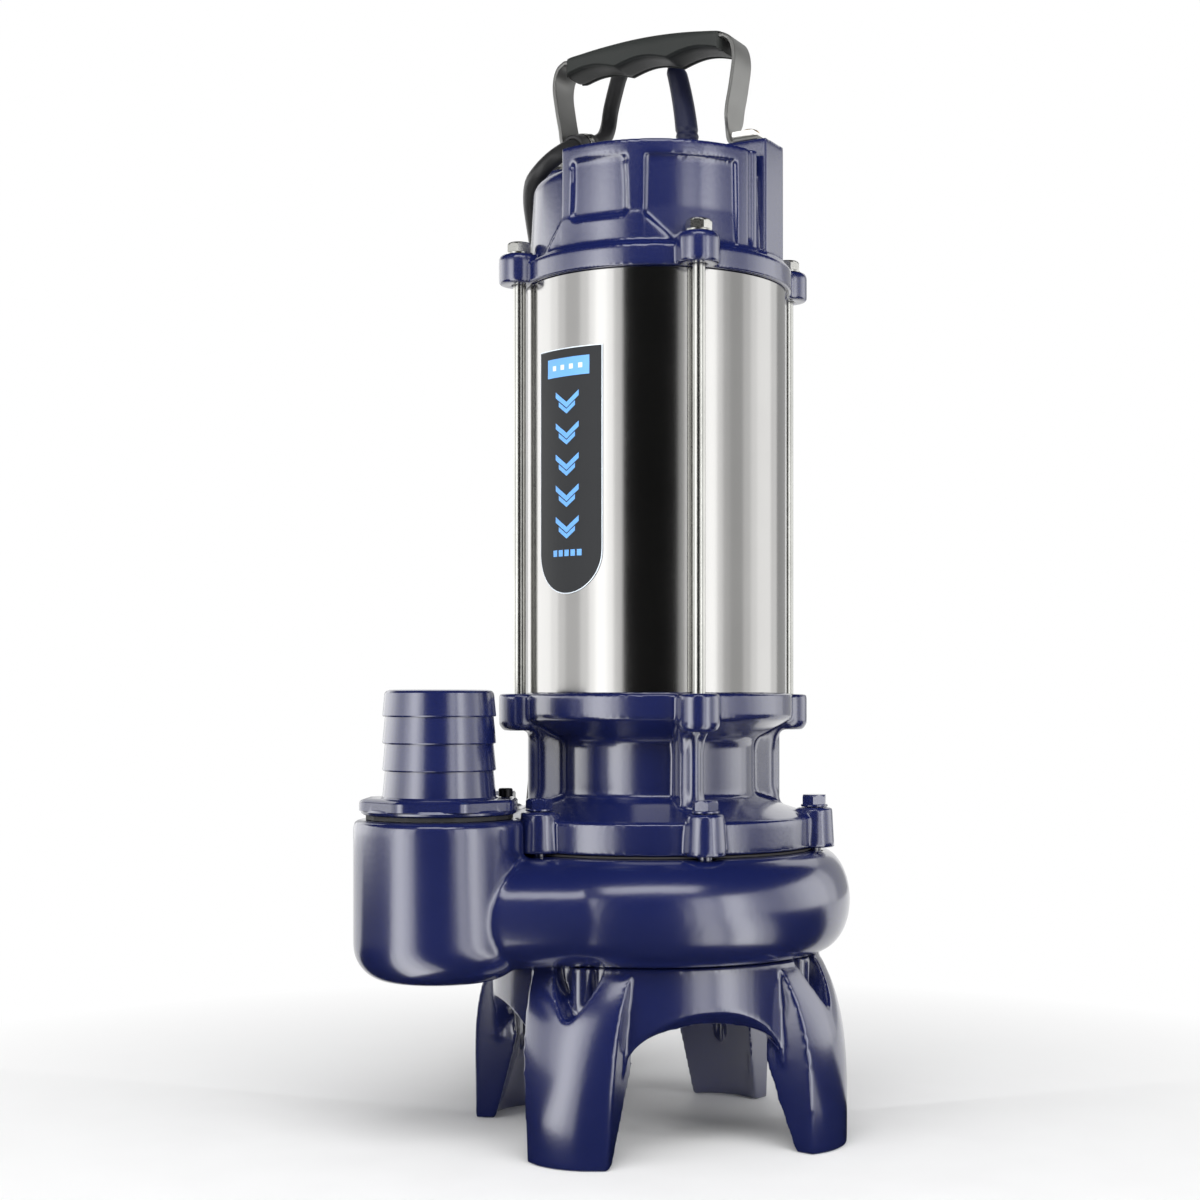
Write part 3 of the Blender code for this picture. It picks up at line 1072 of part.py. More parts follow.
def build_cover(pump):
    """Cast top cover with framed pockets, handle pads, gland boss and cable saddle."""
    tie_angles = pattern(TIE_BOLT_ANGLE, TIE_BOLT_COUNT)
    flange_top = COVER_BOTTOM + COVER_FLANGE_HEIGHT
    profile = [(0.0, COVER_TOP), (COVER_TOP_RADIUS - COVER_EDGE, COVER_TOP), (COVER_TOP_RADIUS, COVER_TOP - COVER_EDGE),
               (COVER_FOOT_RADIUS, flange_top), (COVER_FLANGE_RADIUS, flange_top - FIT_GAP * 4),
               (COVER_FLANGE_RADIUS, COVER_BOTTOM), (0.0, COVER_BOTTOM)]
    solid = turned(profile, FINE_STEPS)
    frame_top = COVER_BOTTOM + FRAME_HEIGHT
    pocket_top = COVER_BOTTOM + POCKET_TOP
    deep = CAVITY_RADIUS - WELD_DEPTH
    for half_turn in (0.0, 180.0):
        frame = sector(deep, FRAME_RADIUS, FRAME_START + half_turn, FRAME_END + half_turn,
                       flange_top - WELD_DEPTH, frame_top, HOLE_STEPS)
        foot = sector(deep - WELD_DEPTH, FRAME_RADIUS + FIT_GAP * 2, FRAME_FOOT_START + half_turn,
                      FRAME_FOOT_END + half_turn, flange_top - WELD_DEPTH * 1.5, COVER_BOTTOM + FRAME_FOOT_HEIGHT, 8)
        pocket = sector(POCKET_FLOOR_RADIUS, FRAME_RADIUS * 1.2, POCKET_START + half_turn, POCKET_END + half_turn,
                        COVER_BOTTOM + POCKET_BOTTOM, pocket_top, 4)
        bay = sector(POCKET_FLOOR_RADIUS - FIT_GAP, FRAME_RADIUS * 1.2, BAY_START + half_turn, BAY_END + half_turn,
                     COVER_BOTTOM, pocket_top, 6)
        solid = united(solid, cut(united(frame, foot), pocket, bay))
    pad_bottom = COVER_BOTTOM + COVER_FLANGE_HEIGHT / 2
    for angle, outer in ((HANDLE_ANGLE, PAD_OUTER), (HANDLE_ANGLE + 180.0, COVER_TOP_RADIUS - WELD_DEPTH)):
        pad = moved(block(outer - PAD_INNER, PAD_HALF_WIDTH * 2, pad_bottom, PAD_TOP),
                    ((outer + PAD_INNER) / 2, 0.0, 0.0))
        solid = united(solid, moved(pad, turn=facing(angle)))
    pad_boss = rod(PAD_BOSS_RADIUS, pad_bottom + FIT_GAP, PAD_TOP - FIT_GAP, BOSS_STEPS)
    solid = united(solid, moved(pad_boss, clock(screw_places()[1], HANDLE_ANGLE)))
    gland = rod(GLAND_BOSS_RADIUS, COVER_ROOF + WELD_DEPTH, COVER_TOP + GLAND_BOSS_HEIGHT, 20)
    gland = moved(gland, (GLAND_X, GLAND_Y, 0.0))
    lug = rod(COVER_LUG_RADIUS, COVER_BOTTOM + FIT_GAP, COVER_BOTTOM + COVER_LUG_HEIGHT, BOSS_STEPS)
    lugs = [moved(lug.copy(), clock(TIE_BOLT_CIRCLE, angle)) for angle in tie_angles]
    solid = united(solid, gland, grouped(lugs))
    solid = united(solid, saddle())

    cavity = rod(CAVITY_RADIUS, COVER_BOTTOM - CUT_OVERRUN, COVER_ROOF, FINE_STEPS)
    tie_hole = rod(TIE_ROD_RADIUS + FIT_GAP, COVER_BOTTOM - CUT_OVERRUN, COVER_TOP, HOLE_STEPS)
    holes = [moved(tie_hole.copy(), clock(TIE_BOLT_CIRCLE, angle)) for angle in tie_angles]
    screw_hole = rod(SCREW_RADIUS + FIT_GAP, PAD_TOP - SCREW_LENGTH, PAD_TOP + CUT_OVERRUN, HOLE_STEPS)
    holes += [moved(screw_hole.copy(), clock(radius, HANDLE_ANGLE)) for radius in screw_places()]
    entry = moved(rod(CABLE_DIAMETER / 2 + BUSH_CLEARANCE, COVER_ROOF - CUT_OVERRUN,
                      COVER_TOP + GLAND_BOSS_HEIGHT + CUT_OVERRUN, 16), (GLAND_X, GLAND_Y, 0.0))
    node("top_cover", cut(cut(solid, cavity), grouped(holes + [entry])), "navy_paint", pump)


def saddle():
    """Cast post under the cable clamp, from the cover's roof to the clamp's foot."""
    turn = clamp_turn()
    down = turn.to_3x3() @ Vector((0.0, 1.0, 0.0))
    if down.z > 0:
        down = -down
    foot = Vector((BUSH_X, BUSH_Y, BUSH_Z)) + down * (BUSH_RADIUS + CLAMP_FOOT / 2 + FIT_GAP)
    flat = Vector((BUSH_HEADING_X, BUSH_HEADING_Y, 0.0)).normalized()
    side = Vector((-flat.y, flat.x, 0.0))
    slope = BUSH_HEADING_Z / math.hypot(BUSH_HEADING_X, BUSH_HEADING_Y)
    rings = []
    for spread, along in ((1.6, -1.0), (1.6, 1.0)):
        ring = []
        for across, level in ((-spread, "low"), (spread, "low"), (spread, "high"), (-spread, "high")):
            point = foot + flat * along * SADDLE_HALF_LENGTH + side * across * SADDLE_HALF_LENGTH / 1.2
            point.z = COVER_ROOF + WELD_DEPTH if level == "low" else foot.z + slope * along * SADDLE_HALF_LENGTH
            ring.append(point)
        rings.append(ring)
    return lofted(rings)


def screw_places():
    """Signed distances of the two handle screws from the axis, along the handle."""
    reach = STRAP_FOOT_OUTER - SCREW_INSET
    return (reach + HANDLE_SHIFT, HANDLE_SHIFT - reach)


def build_cover_interior(pump):
    """Capacitor, its strap and the terminal block in the wiring room."""
    floor = BRACKET_BOTTOM + BRACKET_PLATE
    hub_top = UPPER_BEARING_TOP
    across = Matrix.Rotation(math.radians(90.0), 4, "Y")
    seat = max(hub_top, floor)
    height = seat + CAPACITOR_RADIUS + FIT_GAP
    body = rod(CAPACITOR_RADIUS, -CAPACITOR_HALF_LENGTH, CAPACITOR_HALF_LENGTH, 20)
    node("capacitor", moved(body, (0.0, CAPACITOR_OFFSET, height), across), "cream_plastic", pump)

    inner = CAPACITOR_RADIUS + FIT_GAP
    outer = inner + CAPACITOR_STRAP_THICKNESS
    turns = [math.pi * index / 10 for index in range(11)]
    base = floor + FIT_GAP - height
    foot = CAPACITOR_STRAP_THICKNESS
    wide = outer + CAPACITOR_STRAP_FOOT
    outline = [(outer * math.cos(turn), outer * math.sin(turn)) for turn in turns]
    outline += [(-outer, base + foot), (-wide, base + foot), (-wide, base), (-inner, base)]
    outline += [(inner * math.cos(turn), inner * math.sin(turn)) for turn in reversed(turns)]
    outline += [(inner, base), (wide, base), (wide, base + foot), (outer, base + foot)]
    half = CAPACITOR_STRAP_WIDTH / 2
    strap = lofted([[(x, y, z) for y, z in outline] for x in (-half, half)])
    node("capacitor_strap", moved(strap, (0.0, CAPACITOR_OFFSET, height)), "zinc", pump)

    terminal = block(TERMINAL_LENGTH, TERMINAL_WIDTH, floor + FIT_GAP, floor + FIT_GAP + TERMINAL_HEIGHT)
    node("terminal_block", moved(terminal, (0.0, TERMINAL_OFFSET, 0.0)), "cream_plastic", pump)


# Handle


STRAP_CURVE_SHARES = ((0.30, 0.35), (0.75, 0.58), (1.0, 0.75), (0.90, 0.87))
STRAP_CORNER_SHARES = ((0.24, 0.24), (0.58, 0.0))


def strap_path():
    """Middle line of one strap end in the handle's plane, from the foot's tip to the grip."""
    low = PAD_TOP + FIT_GAP + STRAP_THICKNESS / 2
    top = PAD_TOP + STRAP_RISE
    knee = low + STRAP_BEND * 0.5
    rise = top - low
    points = [(STRAP_FOOT_OUTER, low), (STRAP_FOOT_INNER + STRAP_BEND * 0.5, low), (STRAP_FOOT_INNER, knee)]
    points += [(STRAP_FOOT_INNER + (STRAP_BULGE - STRAP_FOOT_INNER) * across, low + rise * up)
               for across, up in STRAP_CURVE_SHARES]
    points += [(STRAP_BULGE - STRAP_BEND * across, top - STRAP_BEND * down) for across, down in STRAP_CORNER_SHARES]
    return points


def build_handle(pump):
    """Bent steel strap, moulded grip round its middle and the two brass screws."""
    right = strap_path()
    left = [(-x, z) for x, z in reversed(right)]
    line = right + left
    normals = []
    for index, point in enumerate(line):
        before = line[max(index - 1, 0)]
        after = line[min(index + 1, len(line) - 1)]
        run = math.hypot(after[0] - before[0], after[1] - before[1])
        normals.append(((after[1] - before[1]) / run, -(after[0] - before[0]) / run))
    half = STRAP_THICKNESS / 2
    outside = [(x + nx * half, z + nz * half) for (x, z), (nx, nz) in zip(line, normals)]
    inside = [(x - nx * half, z - nz * half) for (x, z), (nx, nz) in zip(line, normals)]
    outline = outside + inside[::-1]
    strap = lofted([[(x, y, z) for x, z in outline] for y in (-STRAP_WIDTH / 2, STRAP_WIDTH / 2)])
    places = screw_places()
    turn = facing(HANDLE_ANGLE)
    shift = clock(HANDLE_SHIFT, HANDLE_ANGLE)
    strap = moved(strap, shift, turn)
    low = PAD_TOP + FIT_GAP
    hole = rod(SCREW_RADIUS + FIT_GAP, low - CUT_OVERRUN, low + STRAP_BEND / 2, HOLE_STEPS)
    strap = cut(strap, grouped([moved(hole.copy(), clock(place, HANDLE_ANGLE)) for place in places]))
    node("handle_strap", strap, "strap_steel", pump)

    seat = low + STRAP_THICKNESS + FIT_GAP
    head = turned([(0.0, seat + SCREW_HEAD_HEIGHT), (SCREW_HEAD_RADIUS * 0.6, seat + SCREW_HEAD_HEIGHT),
                   (SCREW_HEAD_RADIUS, seat + SCREW_HEAD_HEIGHT / 3), (SCREW_HEAD_RADIUS, seat),
                   (SCREW_RADIUS, seat), (SCREW_RADIUS, seat - SCREW_LENGTH), (0.0, seat - SCREW_LENGTH)], HOLE_STEPS)
    for index, place in enumerate(places):
        node(f"handle_screw_{index + 1}", moved(head.copy(), clock(place, HANDLE_ANGLE)), "brass", pump)
    node("handle_grip", grip(turn, shift), "grip_plastic", pump)


def grip(turn, shift):
    """Moulded grip: crowned on top, three finger scallops below, with a slot for the strap."""
    middle = PAD_TOP + STRAP_RISE
    bottom = middle - GRIP_BOTTOM_DROP
    half = GRIP_WIDTH / 2
    rings = []
    steps = 12
    for index in range(steps + 1):
        share = 2 * index / steps - 1
        x = GRIP_HALF_LENGTH * share
        crown = middle + GRIP_RIM + GRIP_CROWN * (1 - share * share)
        scallop = GRIP_CROWN * 0.45 * abs(math.sin(math.pi * 1.5 * (share + 1)))
        low = bottom + scallop
        section = [(-half, middle), (-half * 0.8, crown - GRIP_RIM * 0.6), (0.0, crown), (half * 0.8, crown - GRIP_RIM * 0.6),
                   (half, middle), (half * 0.85, low + GRIP_RIM * 0.4), (half * 0.4, low),
                   (-half * 0.4, low), (-half * 0.85, low + GRIP_RIM * 0.4)]
        rings.append([(x, y, z) for y, z in section])
    solid = lofted(rings)
    clear = STRAP_THICKNESS / 2 + FIT_GAP
    long = GRIP_HALF_LENGTH + CUT_OVERRUN
    slot = moved(block(2 * long, STRAP_WIDTH + 2 * FIT_GAP, -clear, clear), (0.0, 0.0, middle))
    return moved(cut(solid, slot), shift, turn)


# Power cable


# Heights of the lead from the boot to the shoulder are above the cover's underside; those of its fall to
# the floor are shares of the height of that underside.
LEAD_ROUTE = (
    (0.0105, 0.0225, 0.1474), (0.0040, 0.0275, 0.1564), (-0.0055, 0.0355, 0.1609), (-0.0155, 0.0435, 0.1569),
    (-0.0220, 0.0488, 0.1474), (-0.0255, 0.0515, 0.1364), (-0.0282, 0.0530, 0.1254), (-0.0296, 0.0518, 0.1154),
    (-0.0318, 0.0465, 0.1074), (-0.0355, 0.0390, 0.1019),
)
CLAMP_SHARES = (-1.15, -0.5, 0.1, 0.7, 1.2)
SHOULDER_ROUTE = (
    (-0.0560, 0.0040, 0.0859), (-0.0622, -0.0005, 0.0799), (-0.0690, 0.0025, 0.0739), (-0.0742, 0.0105, 0.0684),
    (-0.0757, 0.0215, 0.0609), (-0.0748, 0.0312, 0.0509), (-0.0731, 0.0398, 0.0379), (-0.0720, 0.0460, 0.0204),
    (-0.0725, 0.0510, -0.0056),
)
FALL_ROUTE_SHARES = (
    (-0.0722, 0.0525, 0.9080), (-0.0720, 0.0535, 0.7667), (-0.0720, 0.0550, 0.6053), (-0.0730, 0.0590, 0.4843),
    (-0.0770, 0.0670, 0.3834), (-0.0840, 0.0790, 0.2926), (-0.0910, 0.0910, 0.2058), (-0.0970, 0.1020, 0.1251),
    (-0.1030, 0.1140, 0.0625), (-0.1090, 0.1280, 0.0252), (-0.1140, 0.1450, 0.0157),
)


def smooth_line(points, step):
    """Even points along a smooth curve through the given ones."""
    padded = [points[0] * 2 - points[1]] + points + [points[-1] * 2 - points[-2]]
    fine = []
    for index in range(1, len(padded) - 2):
        before, start, end, after = padded[index - 1:index + 3]
        for tick in range(16):
            t = tick / 16
            fine.append(0.5 * (2 * start + (end - before) * t + (2 * before - 5 * start + 4 * end - after) * t * t
                               + (3 * start - before - 3 * end + after) * t ** 3))
    fine.append(points[-1])
    lengths = [0.0]
    for near, far in zip(fine, fine[1:]):
        lengths.append(lengths[-1] + (far - near).length)
    count = max(2, round(lengths[-1] / step))
    line = []
    spot = 0
    for index in range(count + 1):
        goal = lengths[-1] * index / count
        while spot < len(lengths) - 2 and lengths[spot + 1] < goal:
            spot += 1
        span = lengths[spot + 1] - lengths[spot]
        line.append(fine[spot].lerp(fine[spot + 1], (goal - lengths[spot]) / span))
    return line


def boot_top():
    """Middle of the boot's upper face."""
    return Vector((BOOT_TOP_X, BOOT_TOP_Y, boot_bottom() + BOOT_HEIGHT))


def boot_bottom():
    """Height of the boot's lower face, on the gland nut."""
    return COVER_TOP + GLAND_BOSS_HEIGHT + GLAND_NUT_HEIGHT + 2 * FIT_GAP


def hank_solid():
    """Outer shape of the folded lead: an outline with round ends."""
    radius = HANK_FOLD + CABLE_DIAMETER * (HANK_TURNS_WIDE - 0.5)
    reach = HANK_RUN / 2
    outline = []
    for side in (1, -1):
        for index in range(HANK_STEPS + 1):
            turn = math.pi * index / HANK_STEPS - (0.0 if side > 0 else math.pi)
            outline.append((HANK_X + radius * math.cos(turn), HANK_Y + side * reach + radius * math.sin(turn)))
    top = HANK_LIFT + CABLE_DIAMETER * HANK_TURNS_HIGH
    return prism(outline, HANK_LIFT, top), radius, top


def build_cable(pump):
    """Gland, boot, clamp, lead down to the floor, and the spare lead tied in a hank with its plug."""
    nut_bottom = COVER_TOP + GLAND_BOSS_HEIGHT + FIT_GAP
    nut = lofted([hexagon(GLAND_NUT_FLATS, nut_bottom), hexagon(GLAND_NUT_FLATS, nut_bottom + GLAND_NUT_HEIGHT)])
    node("cable_gland_nut", moved(nut, (GLAND_X, GLAND_Y, 0.0)), "navy_paint", pump)
    bottom = boot_bottom()
    tip = boot_top()
    rings = []
    for share in (0.0, 0.33, 0.66, 1.0):
        radius = BOOT_BASE_RADIUS + (BOOT_TOP_RADIUS - BOOT_BASE_RADIUS) * share
        lean = share * share
        x = GLAND_X + (tip.x - GLAND_X) * lean
        y = GLAND_Y + (tip.y - GLAND_Y) * lean
        rings.append([(x + px, y + py, bottom + BOOT_HEIGHT * share) for px, py in ring_outline(radius, 16)])
    node("cable_boot", lofted(rings), "navy_rubber", pump)

    turn = clamp_turn()
    centre = Vector((BUSH_X, BUSH_Y, BUSH_Z))
    bore = CABLE_DIAMETER / 2 + BUSH_CLEARANCE
    groove = BUSH_GROOVE_HALF
    rim = BUSH_RADIUS - BUSH_CLEARANCE
    bush = turned([(BUSH_RADIUS, BUSH_FRONT), (BUSH_RADIUS, groove), (BUSH_GROOVE_RADIUS, groove),
                   (BUSH_GROOVE_RADIUS, -groove), (rim, -groove), (rim, -BUSH_BACK), (bore, -BUSH_BACK),
                   (bore, BUSH_FRONT)], COARSE_STEPS)
    node("cable_bush", moved(bush, centre, turn), "black_rubber", pump)
    ring_bore = BUSH_GROOVE_RADIUS + FIT_GAP
    band = tube_ring(ring_bore, ring_bore + CLAMP_WALL, -CLAMP_HALF_WIDTH, CLAMP_HALF_WIDTH, COARSE_STEPS)
    down = turn.to_3x3() @ Vector((0.0, 1.0, 0.0))
    side = 1.0 if down.z < 0 else -1.0
    foot_middle = side * (ring_bore + CLAMP_WALL / 2 + (BUSH_RADIUS + CLAMP_FOOT / 2)) / 2
    foot_length = BUSH_RADIUS + CLAMP_FOOT / 2 - ring_bore - CLAMP_WALL / 2
    foot = moved(block(CLAMP_FOOT, foot_length, -CLAMP_HALF_WIDTH * 0.9, CLAMP_HALF_WIDTH * 0.9), (0.0, foot_middle, 0.0))
    node("cable_clamp", moved(united(band, foot), centre, turn), "zinc", pump)

    heading = Vector((BUSH_HEADING_X, BUSH_HEADING_Y, BUSH_HEADING_Z)).normalized()
    in_clamp = [centre + heading * (share * (BUSH_FRONT if share > 0 else BUSH_BACK)) for share in CLAMP_SHARES]
    solid, radius, top = hank_solid()
    entry_x = HANK_X - radius + CABLE_DIAMETER / 2
    inset = math.sqrt(radius ** 2 - (radius - CABLE_DIAMETER) ** 2)
    entry = Vector((entry_x, HANK_Y - HANK_RUN / 2 - inset - FIT_GAP * 3, HANK_LIFT + CABLE_DIAMETER / 2))
    above = Vector((0.0, 0.0, COVER_BOTTOM))
    rise = [Vector(point) + above for point in LEAD_ROUTE]
    fall = [Vector(point) + above for point in SHOULDER_ROUTE]
    fall += [Vector((x, y, COVER_BOTTOM * share)) for x, y, share in FALL_ROUTE_SHARES]
    away = (rise[0] - tip).normalized()
    start = tip + away * (CABLE_DIAMETER / 2 * away.xy.length + 3 * FIT_GAP) / away.z
    curve = bpy.data.curves.new("power_cable", "CURVE")
    curve.dimensions = "3D"
    curve.bevel_depth = CABLE_DIAMETER / 2
    curve.bevel_resolution = CABLE_SIDE_STEPS
    curve.use_fill_caps = True
    line = smooth_line([start] + rise + in_clamp + fall + [entry], CABLE_POINT_STEP)
    spline = curve.splines.new("POLY")
    spline.points.add(len(line) - 1)
    for place, point in zip(spline.points, line):
        place.co = (*point, 1.0)
    curve.materials.append(finish("black_rubber"))
    cable = bpy.data.objects.new("power_cable", curve)
    cable.parent = pump
    bpy.context.scene.collection.objects.link(cable)
    cable_set = [cable, node("cable_hank", solid, "black_rubber", pump)]

    half = radius + FIT_GAP
    thick = HANK_TIE_THICKNESS
    low = HANK_LIFT - FIT_GAP
    outer = block(2 * (half + thick), HANK_TIE_WIDTH, low - thick, top + FIT_GAP + thick)
    hollow = block(2 * half, HANK_TIE_WIDTH * 2, low, top + FIT_GAP)
    tie = moved(cut(outer, hollow), (HANK_X, HANK_Y - HANK_TIE_OFFSET, 0.0))
    cable_set.append(node("hank_tie", tie, "black_rubber", pump))

    along = Matrix.Rotation(math.radians(-90.0), 4, "X")
    half = PLUG_LENGTH / 2
    body = turned([(0.0, half), (PLUG_RADIUS * 0.9, half), (PLUG_RADIUS, half * 0.8), (PLUG_RADIUS, -half * 0.2),
                   (PLUG_RADIUS * 0.55, -half * 0.7), (PLUG_RADIUS * 0.45, -half), (0.0, -half)], COARSE_STEPS)
    pins = []
    for angle in pattern(0.0, 3):
        pins.append(moved(block(PIN_WIDTH, PIN_THICKNESS, half - WELD_DEPTH, half + PIN_LENGTH),
                          clock(PIN_CIRCLE, angle + 180.0), Matrix.Rotation(math.radians(angle), 4, "Z")))
    place = (HANK_X, HANK_Y + PLUG_OFFSET, top + PLUG_RADIUS + FIT_GAP)
    cable_set.append(node("plug", moved(united(body, grouped(pins)), place, along), "black_rubber", pump))
    return cable_set


def set_on_origin(pump, cable_set):
    """Shift the whole pump so that the middle of its footprint, without the lead, is the origin."""
    bpy.context.view_layer.update()
    spots = [item.matrix_world @ Vector(corner) for item in bpy.context.scene.objects
             if item.type == "MESH" and item not in cable_set for corner in item.bound_box]
    pump.location.x = -(min(spot.x for spot in spots) + max(spot.x for spot in spots)) / 2
    pump.location.y = -(min(spot.y for spot in spots) + max(spot.y for spot in spots)) / 2


def empty(name, parent=None):
    """A carrier for pieces that move together."""
    carrier = bpy.data.objects.new(name, None)
    carrier.parent = parent
    bpy.context.scene.collection.objects.link(carrier)
    return carrier


fresh_scene()
pump_axis = empty("pump_axis")
rotor_axis = empty("rotor_axis", pump_axis)
ball_axis = empty("ball_axis", pump_axis)
build_base(pump_axis)
build_volute(pump_axis)
build_barb(pump_axis)
build_lid(pump_axis)
build_motor(pump_axis)
build_seals(pump_axis, rotor_axis)
build_rotor(pump_axis, rotor_axis, ball_axis)
build_cover(pump_axis)
build_cover_interior(pump_axis)
build_handle(pump_axis)
set_on_origin(pump_axis, build_cable(pump_axis))
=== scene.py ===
"""Slurry pump dressed for its portrait: navy castings, steel jacket, tie bolts, carrying handle and lead."""

import math

import bmesh
import bpy
from mathutils import Matrix, Vector


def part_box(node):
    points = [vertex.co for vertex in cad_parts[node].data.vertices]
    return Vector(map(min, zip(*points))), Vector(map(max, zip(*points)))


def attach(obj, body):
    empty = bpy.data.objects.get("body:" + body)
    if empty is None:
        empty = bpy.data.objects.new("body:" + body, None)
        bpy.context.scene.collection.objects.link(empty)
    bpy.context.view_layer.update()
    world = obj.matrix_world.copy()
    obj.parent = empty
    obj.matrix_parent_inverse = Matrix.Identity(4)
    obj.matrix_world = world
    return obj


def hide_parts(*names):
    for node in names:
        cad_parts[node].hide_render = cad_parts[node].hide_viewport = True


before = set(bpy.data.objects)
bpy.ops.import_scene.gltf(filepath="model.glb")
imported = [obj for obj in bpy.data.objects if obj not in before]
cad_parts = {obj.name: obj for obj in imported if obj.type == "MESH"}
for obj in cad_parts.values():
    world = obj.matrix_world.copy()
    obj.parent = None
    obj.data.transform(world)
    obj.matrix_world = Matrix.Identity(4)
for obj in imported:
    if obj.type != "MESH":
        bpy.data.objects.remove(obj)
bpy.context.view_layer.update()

# Pump axis
# The shaft's line is the middle of the motor jacket. Clock angles run round it in degrees: 0 faces the
# viewer, positive turns to the viewer's right.
jacket_low, jacket_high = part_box("motor_jacket")
AXIS = Vector(((jacket_low.x + jacket_high.x) / 2, (jacket_low.y + jacket_high.y) / 2, 0.0))


def at(radius, clock, height=0.0):
    """Point round the shaft's line."""
    turn = math.radians(clock)
    return AXIS + Vector((radius * math.sin(turn), -radius * math.cos(turn), height))


# Camera
# A level view from straight in front of the shaft, with the lens rising so that uprights stay upright.
EYE_HEIGHT = 0.2544
EYE_DISTANCE = 1.146
LENS = 57.75
SENSOR_WIDTH = 36.0
LENS_SHIFT = (-0.0467, 0.0833)
camera = bpy.data.objects.new("camera", bpy.data.cameras.new("camera"))
bpy.context.scene.collection.objects.link(camera)
camera.location = AXIS + Vector((0.0, -EYE_DISTANCE, EYE_HEIGHT))
camera.rotation_euler = (math.radians(90.0), 0.0, 0.0)
camera.data.lens = LENS
camera.data.sensor_width = SENSOR_WIDTH
camera.data.shift_x, camera.data.shift_y = LENS_SHIFT
camera.data.clip_start = 0.05
bpy.context.scene.camera = camera
bpy.context.scene.view_settings.view_transform = "Standard"

# Power lead
# One length of black rubber flex, 10 mm thick. It leaves the sleeve on the cover, bends over into the
# clamp, falls behind the pump and lies folded as a hank on the floor behind it. Its places are from the
# shaft's line, and the hank's own ones from the hank's middle.
LEAD_DIAMETER = 0.010
BOOT_TIP = Vector((0.0135, 0.0205, 0.0))
LEAD_UP = (
    (0.0105, 0.0225, 0.6430), (0.0040, 0.0275, 0.6520), (-0.0055, 0.0355, 0.6555), (-0.0155, 0.0435, 0.6525),
    (-0.0220, 0.0488, 0.6430), (-0.0255, 0.0515, 0.6320), (-0.0282, 0.0530, 0.6210), (-0.0296, 0.0518, 0.6110),
    (-0.0318, 0.0465, 0.6030), (-0.0355, 0.0390, 0.5975),
)
CLAMP_MIDDLE = Vector((-0.0442, 0.0238, 0.5907))
CLAMP_HEADING = Vector((-0.45, -0.83, -0.30)).normalized()
LEAD_DOWN = (
    (-0.0560, 0.0040, 0.5815), (-0.0622, -0.0005, 0.5755), (-0.0690, 0.0025, 0.5695), (-0.0742, 0.0105, 0.5640),
    (-0.0757, 0.0215, 0.5565), (-0.0748, 0.0312, 0.5465), (-0.0731, 0.0398, 0.5335), (-0.0720, 0.0460, 0.5160),
    (-0.0725, 0.0510, 0.4900), (-0.0722, 0.0525, 0.4500), (-0.0720, 0.0535, 0.3800), (-0.0720, 0.0550, 0.3000),
    (-0.0730, 0.0590, 0.2400), (-0.0770, 0.0670, 0.1900), (-0.0840, 0.0790, 0.1450), (-0.0910, 0.0910, 0.1020),
    (-0.0970, 0.1020, 0.0620), (-0.1030, 0.1140, 0.0310), (-0.1090, 0.1280, 0.0125), (-0.1140, 0.1450, 0.0078),
)
HANK_MIDDLE = Vector((-0.076, 0.260, 0.0))
HANK_RUN = 0.150
HANK_OUTER = 0.040
HANK_INNER = 0.030
HANK_FLOOR = 0.002
HANK_LAYERS = 5
HANK_STEPS = 8
PLUG_RADIUS = 0.018
PLUG_TAIL_Y = -0.011
PLUG_GAP = 0.0003


def eased(points, per_span):
    """Points along a smooth curve through the given ones."""
    ends = [points[0] * 2 - points[1]] + points + [points[-1] * 2 - points[-2]]
    line = []
    for index in range(1, len(ends) - 2):
        a, b, c, d = ends[index - 1:index + 3]
        for tick in range(per_span):
            t = tick / per_span
            line.append(0.5 * (2 * b + (c - a) * t + (2 * a - 5 * b + 4 * c - d) * t * t
                               + (3 * b - a - 3 * c + d) * t ** 3))
    return line + [points[-1]]


def hank_turns():
    """The folded lead from the floor upwards, two turns in each layer."""
    lanes = []
    for layer in range(HANK_LAYERS):
        order = (HANK_OUTER, HANK_INNER) if layer % 2 == 0 else (HANK_INNER, HANK_OUTER)
        lanes += [(lane, HANK_FLOOR + LEAD_DIAMETER * (layer + 0.5)) for lane in order]
    path = []
    for index, (lane, height) in enumerate(lanes):
        last = (HANK_INNER, height + LEAD_DIAMETER * 1.35)
        after, rise = lanes[index + 1] if index + 1 < len(lanes) else last
        path += [(-lane, HANK_RUN * (step / 4 - 0.5), height) for step in range(5)]
        for step in range(1, HANK_STEPS):
            turn = math.pi * (1 - step / HANK_STEPS)
            path.append((lane * math.cos(turn), HANK_RUN / 2 + lane * math.sin(turn), height))
        path += [(lane, HANK_RUN * (0.5 - step / 4), height) for step in range(5)]
        for step in range(1, HANK_STEPS):
            share = step / HANK_STEPS
            turn = -math.pi * share
            smooth = share * share * (3 - 2 * share)
            reach = lane + (after - lane) * smooth
            path.append((reach * math.cos(turn), -HANK_RUN / 2 + reach * math.sin(turn),
                         height + (rise - height) * smooth))
    return [HANK_MIDDLE + Vector(point) for point in path]


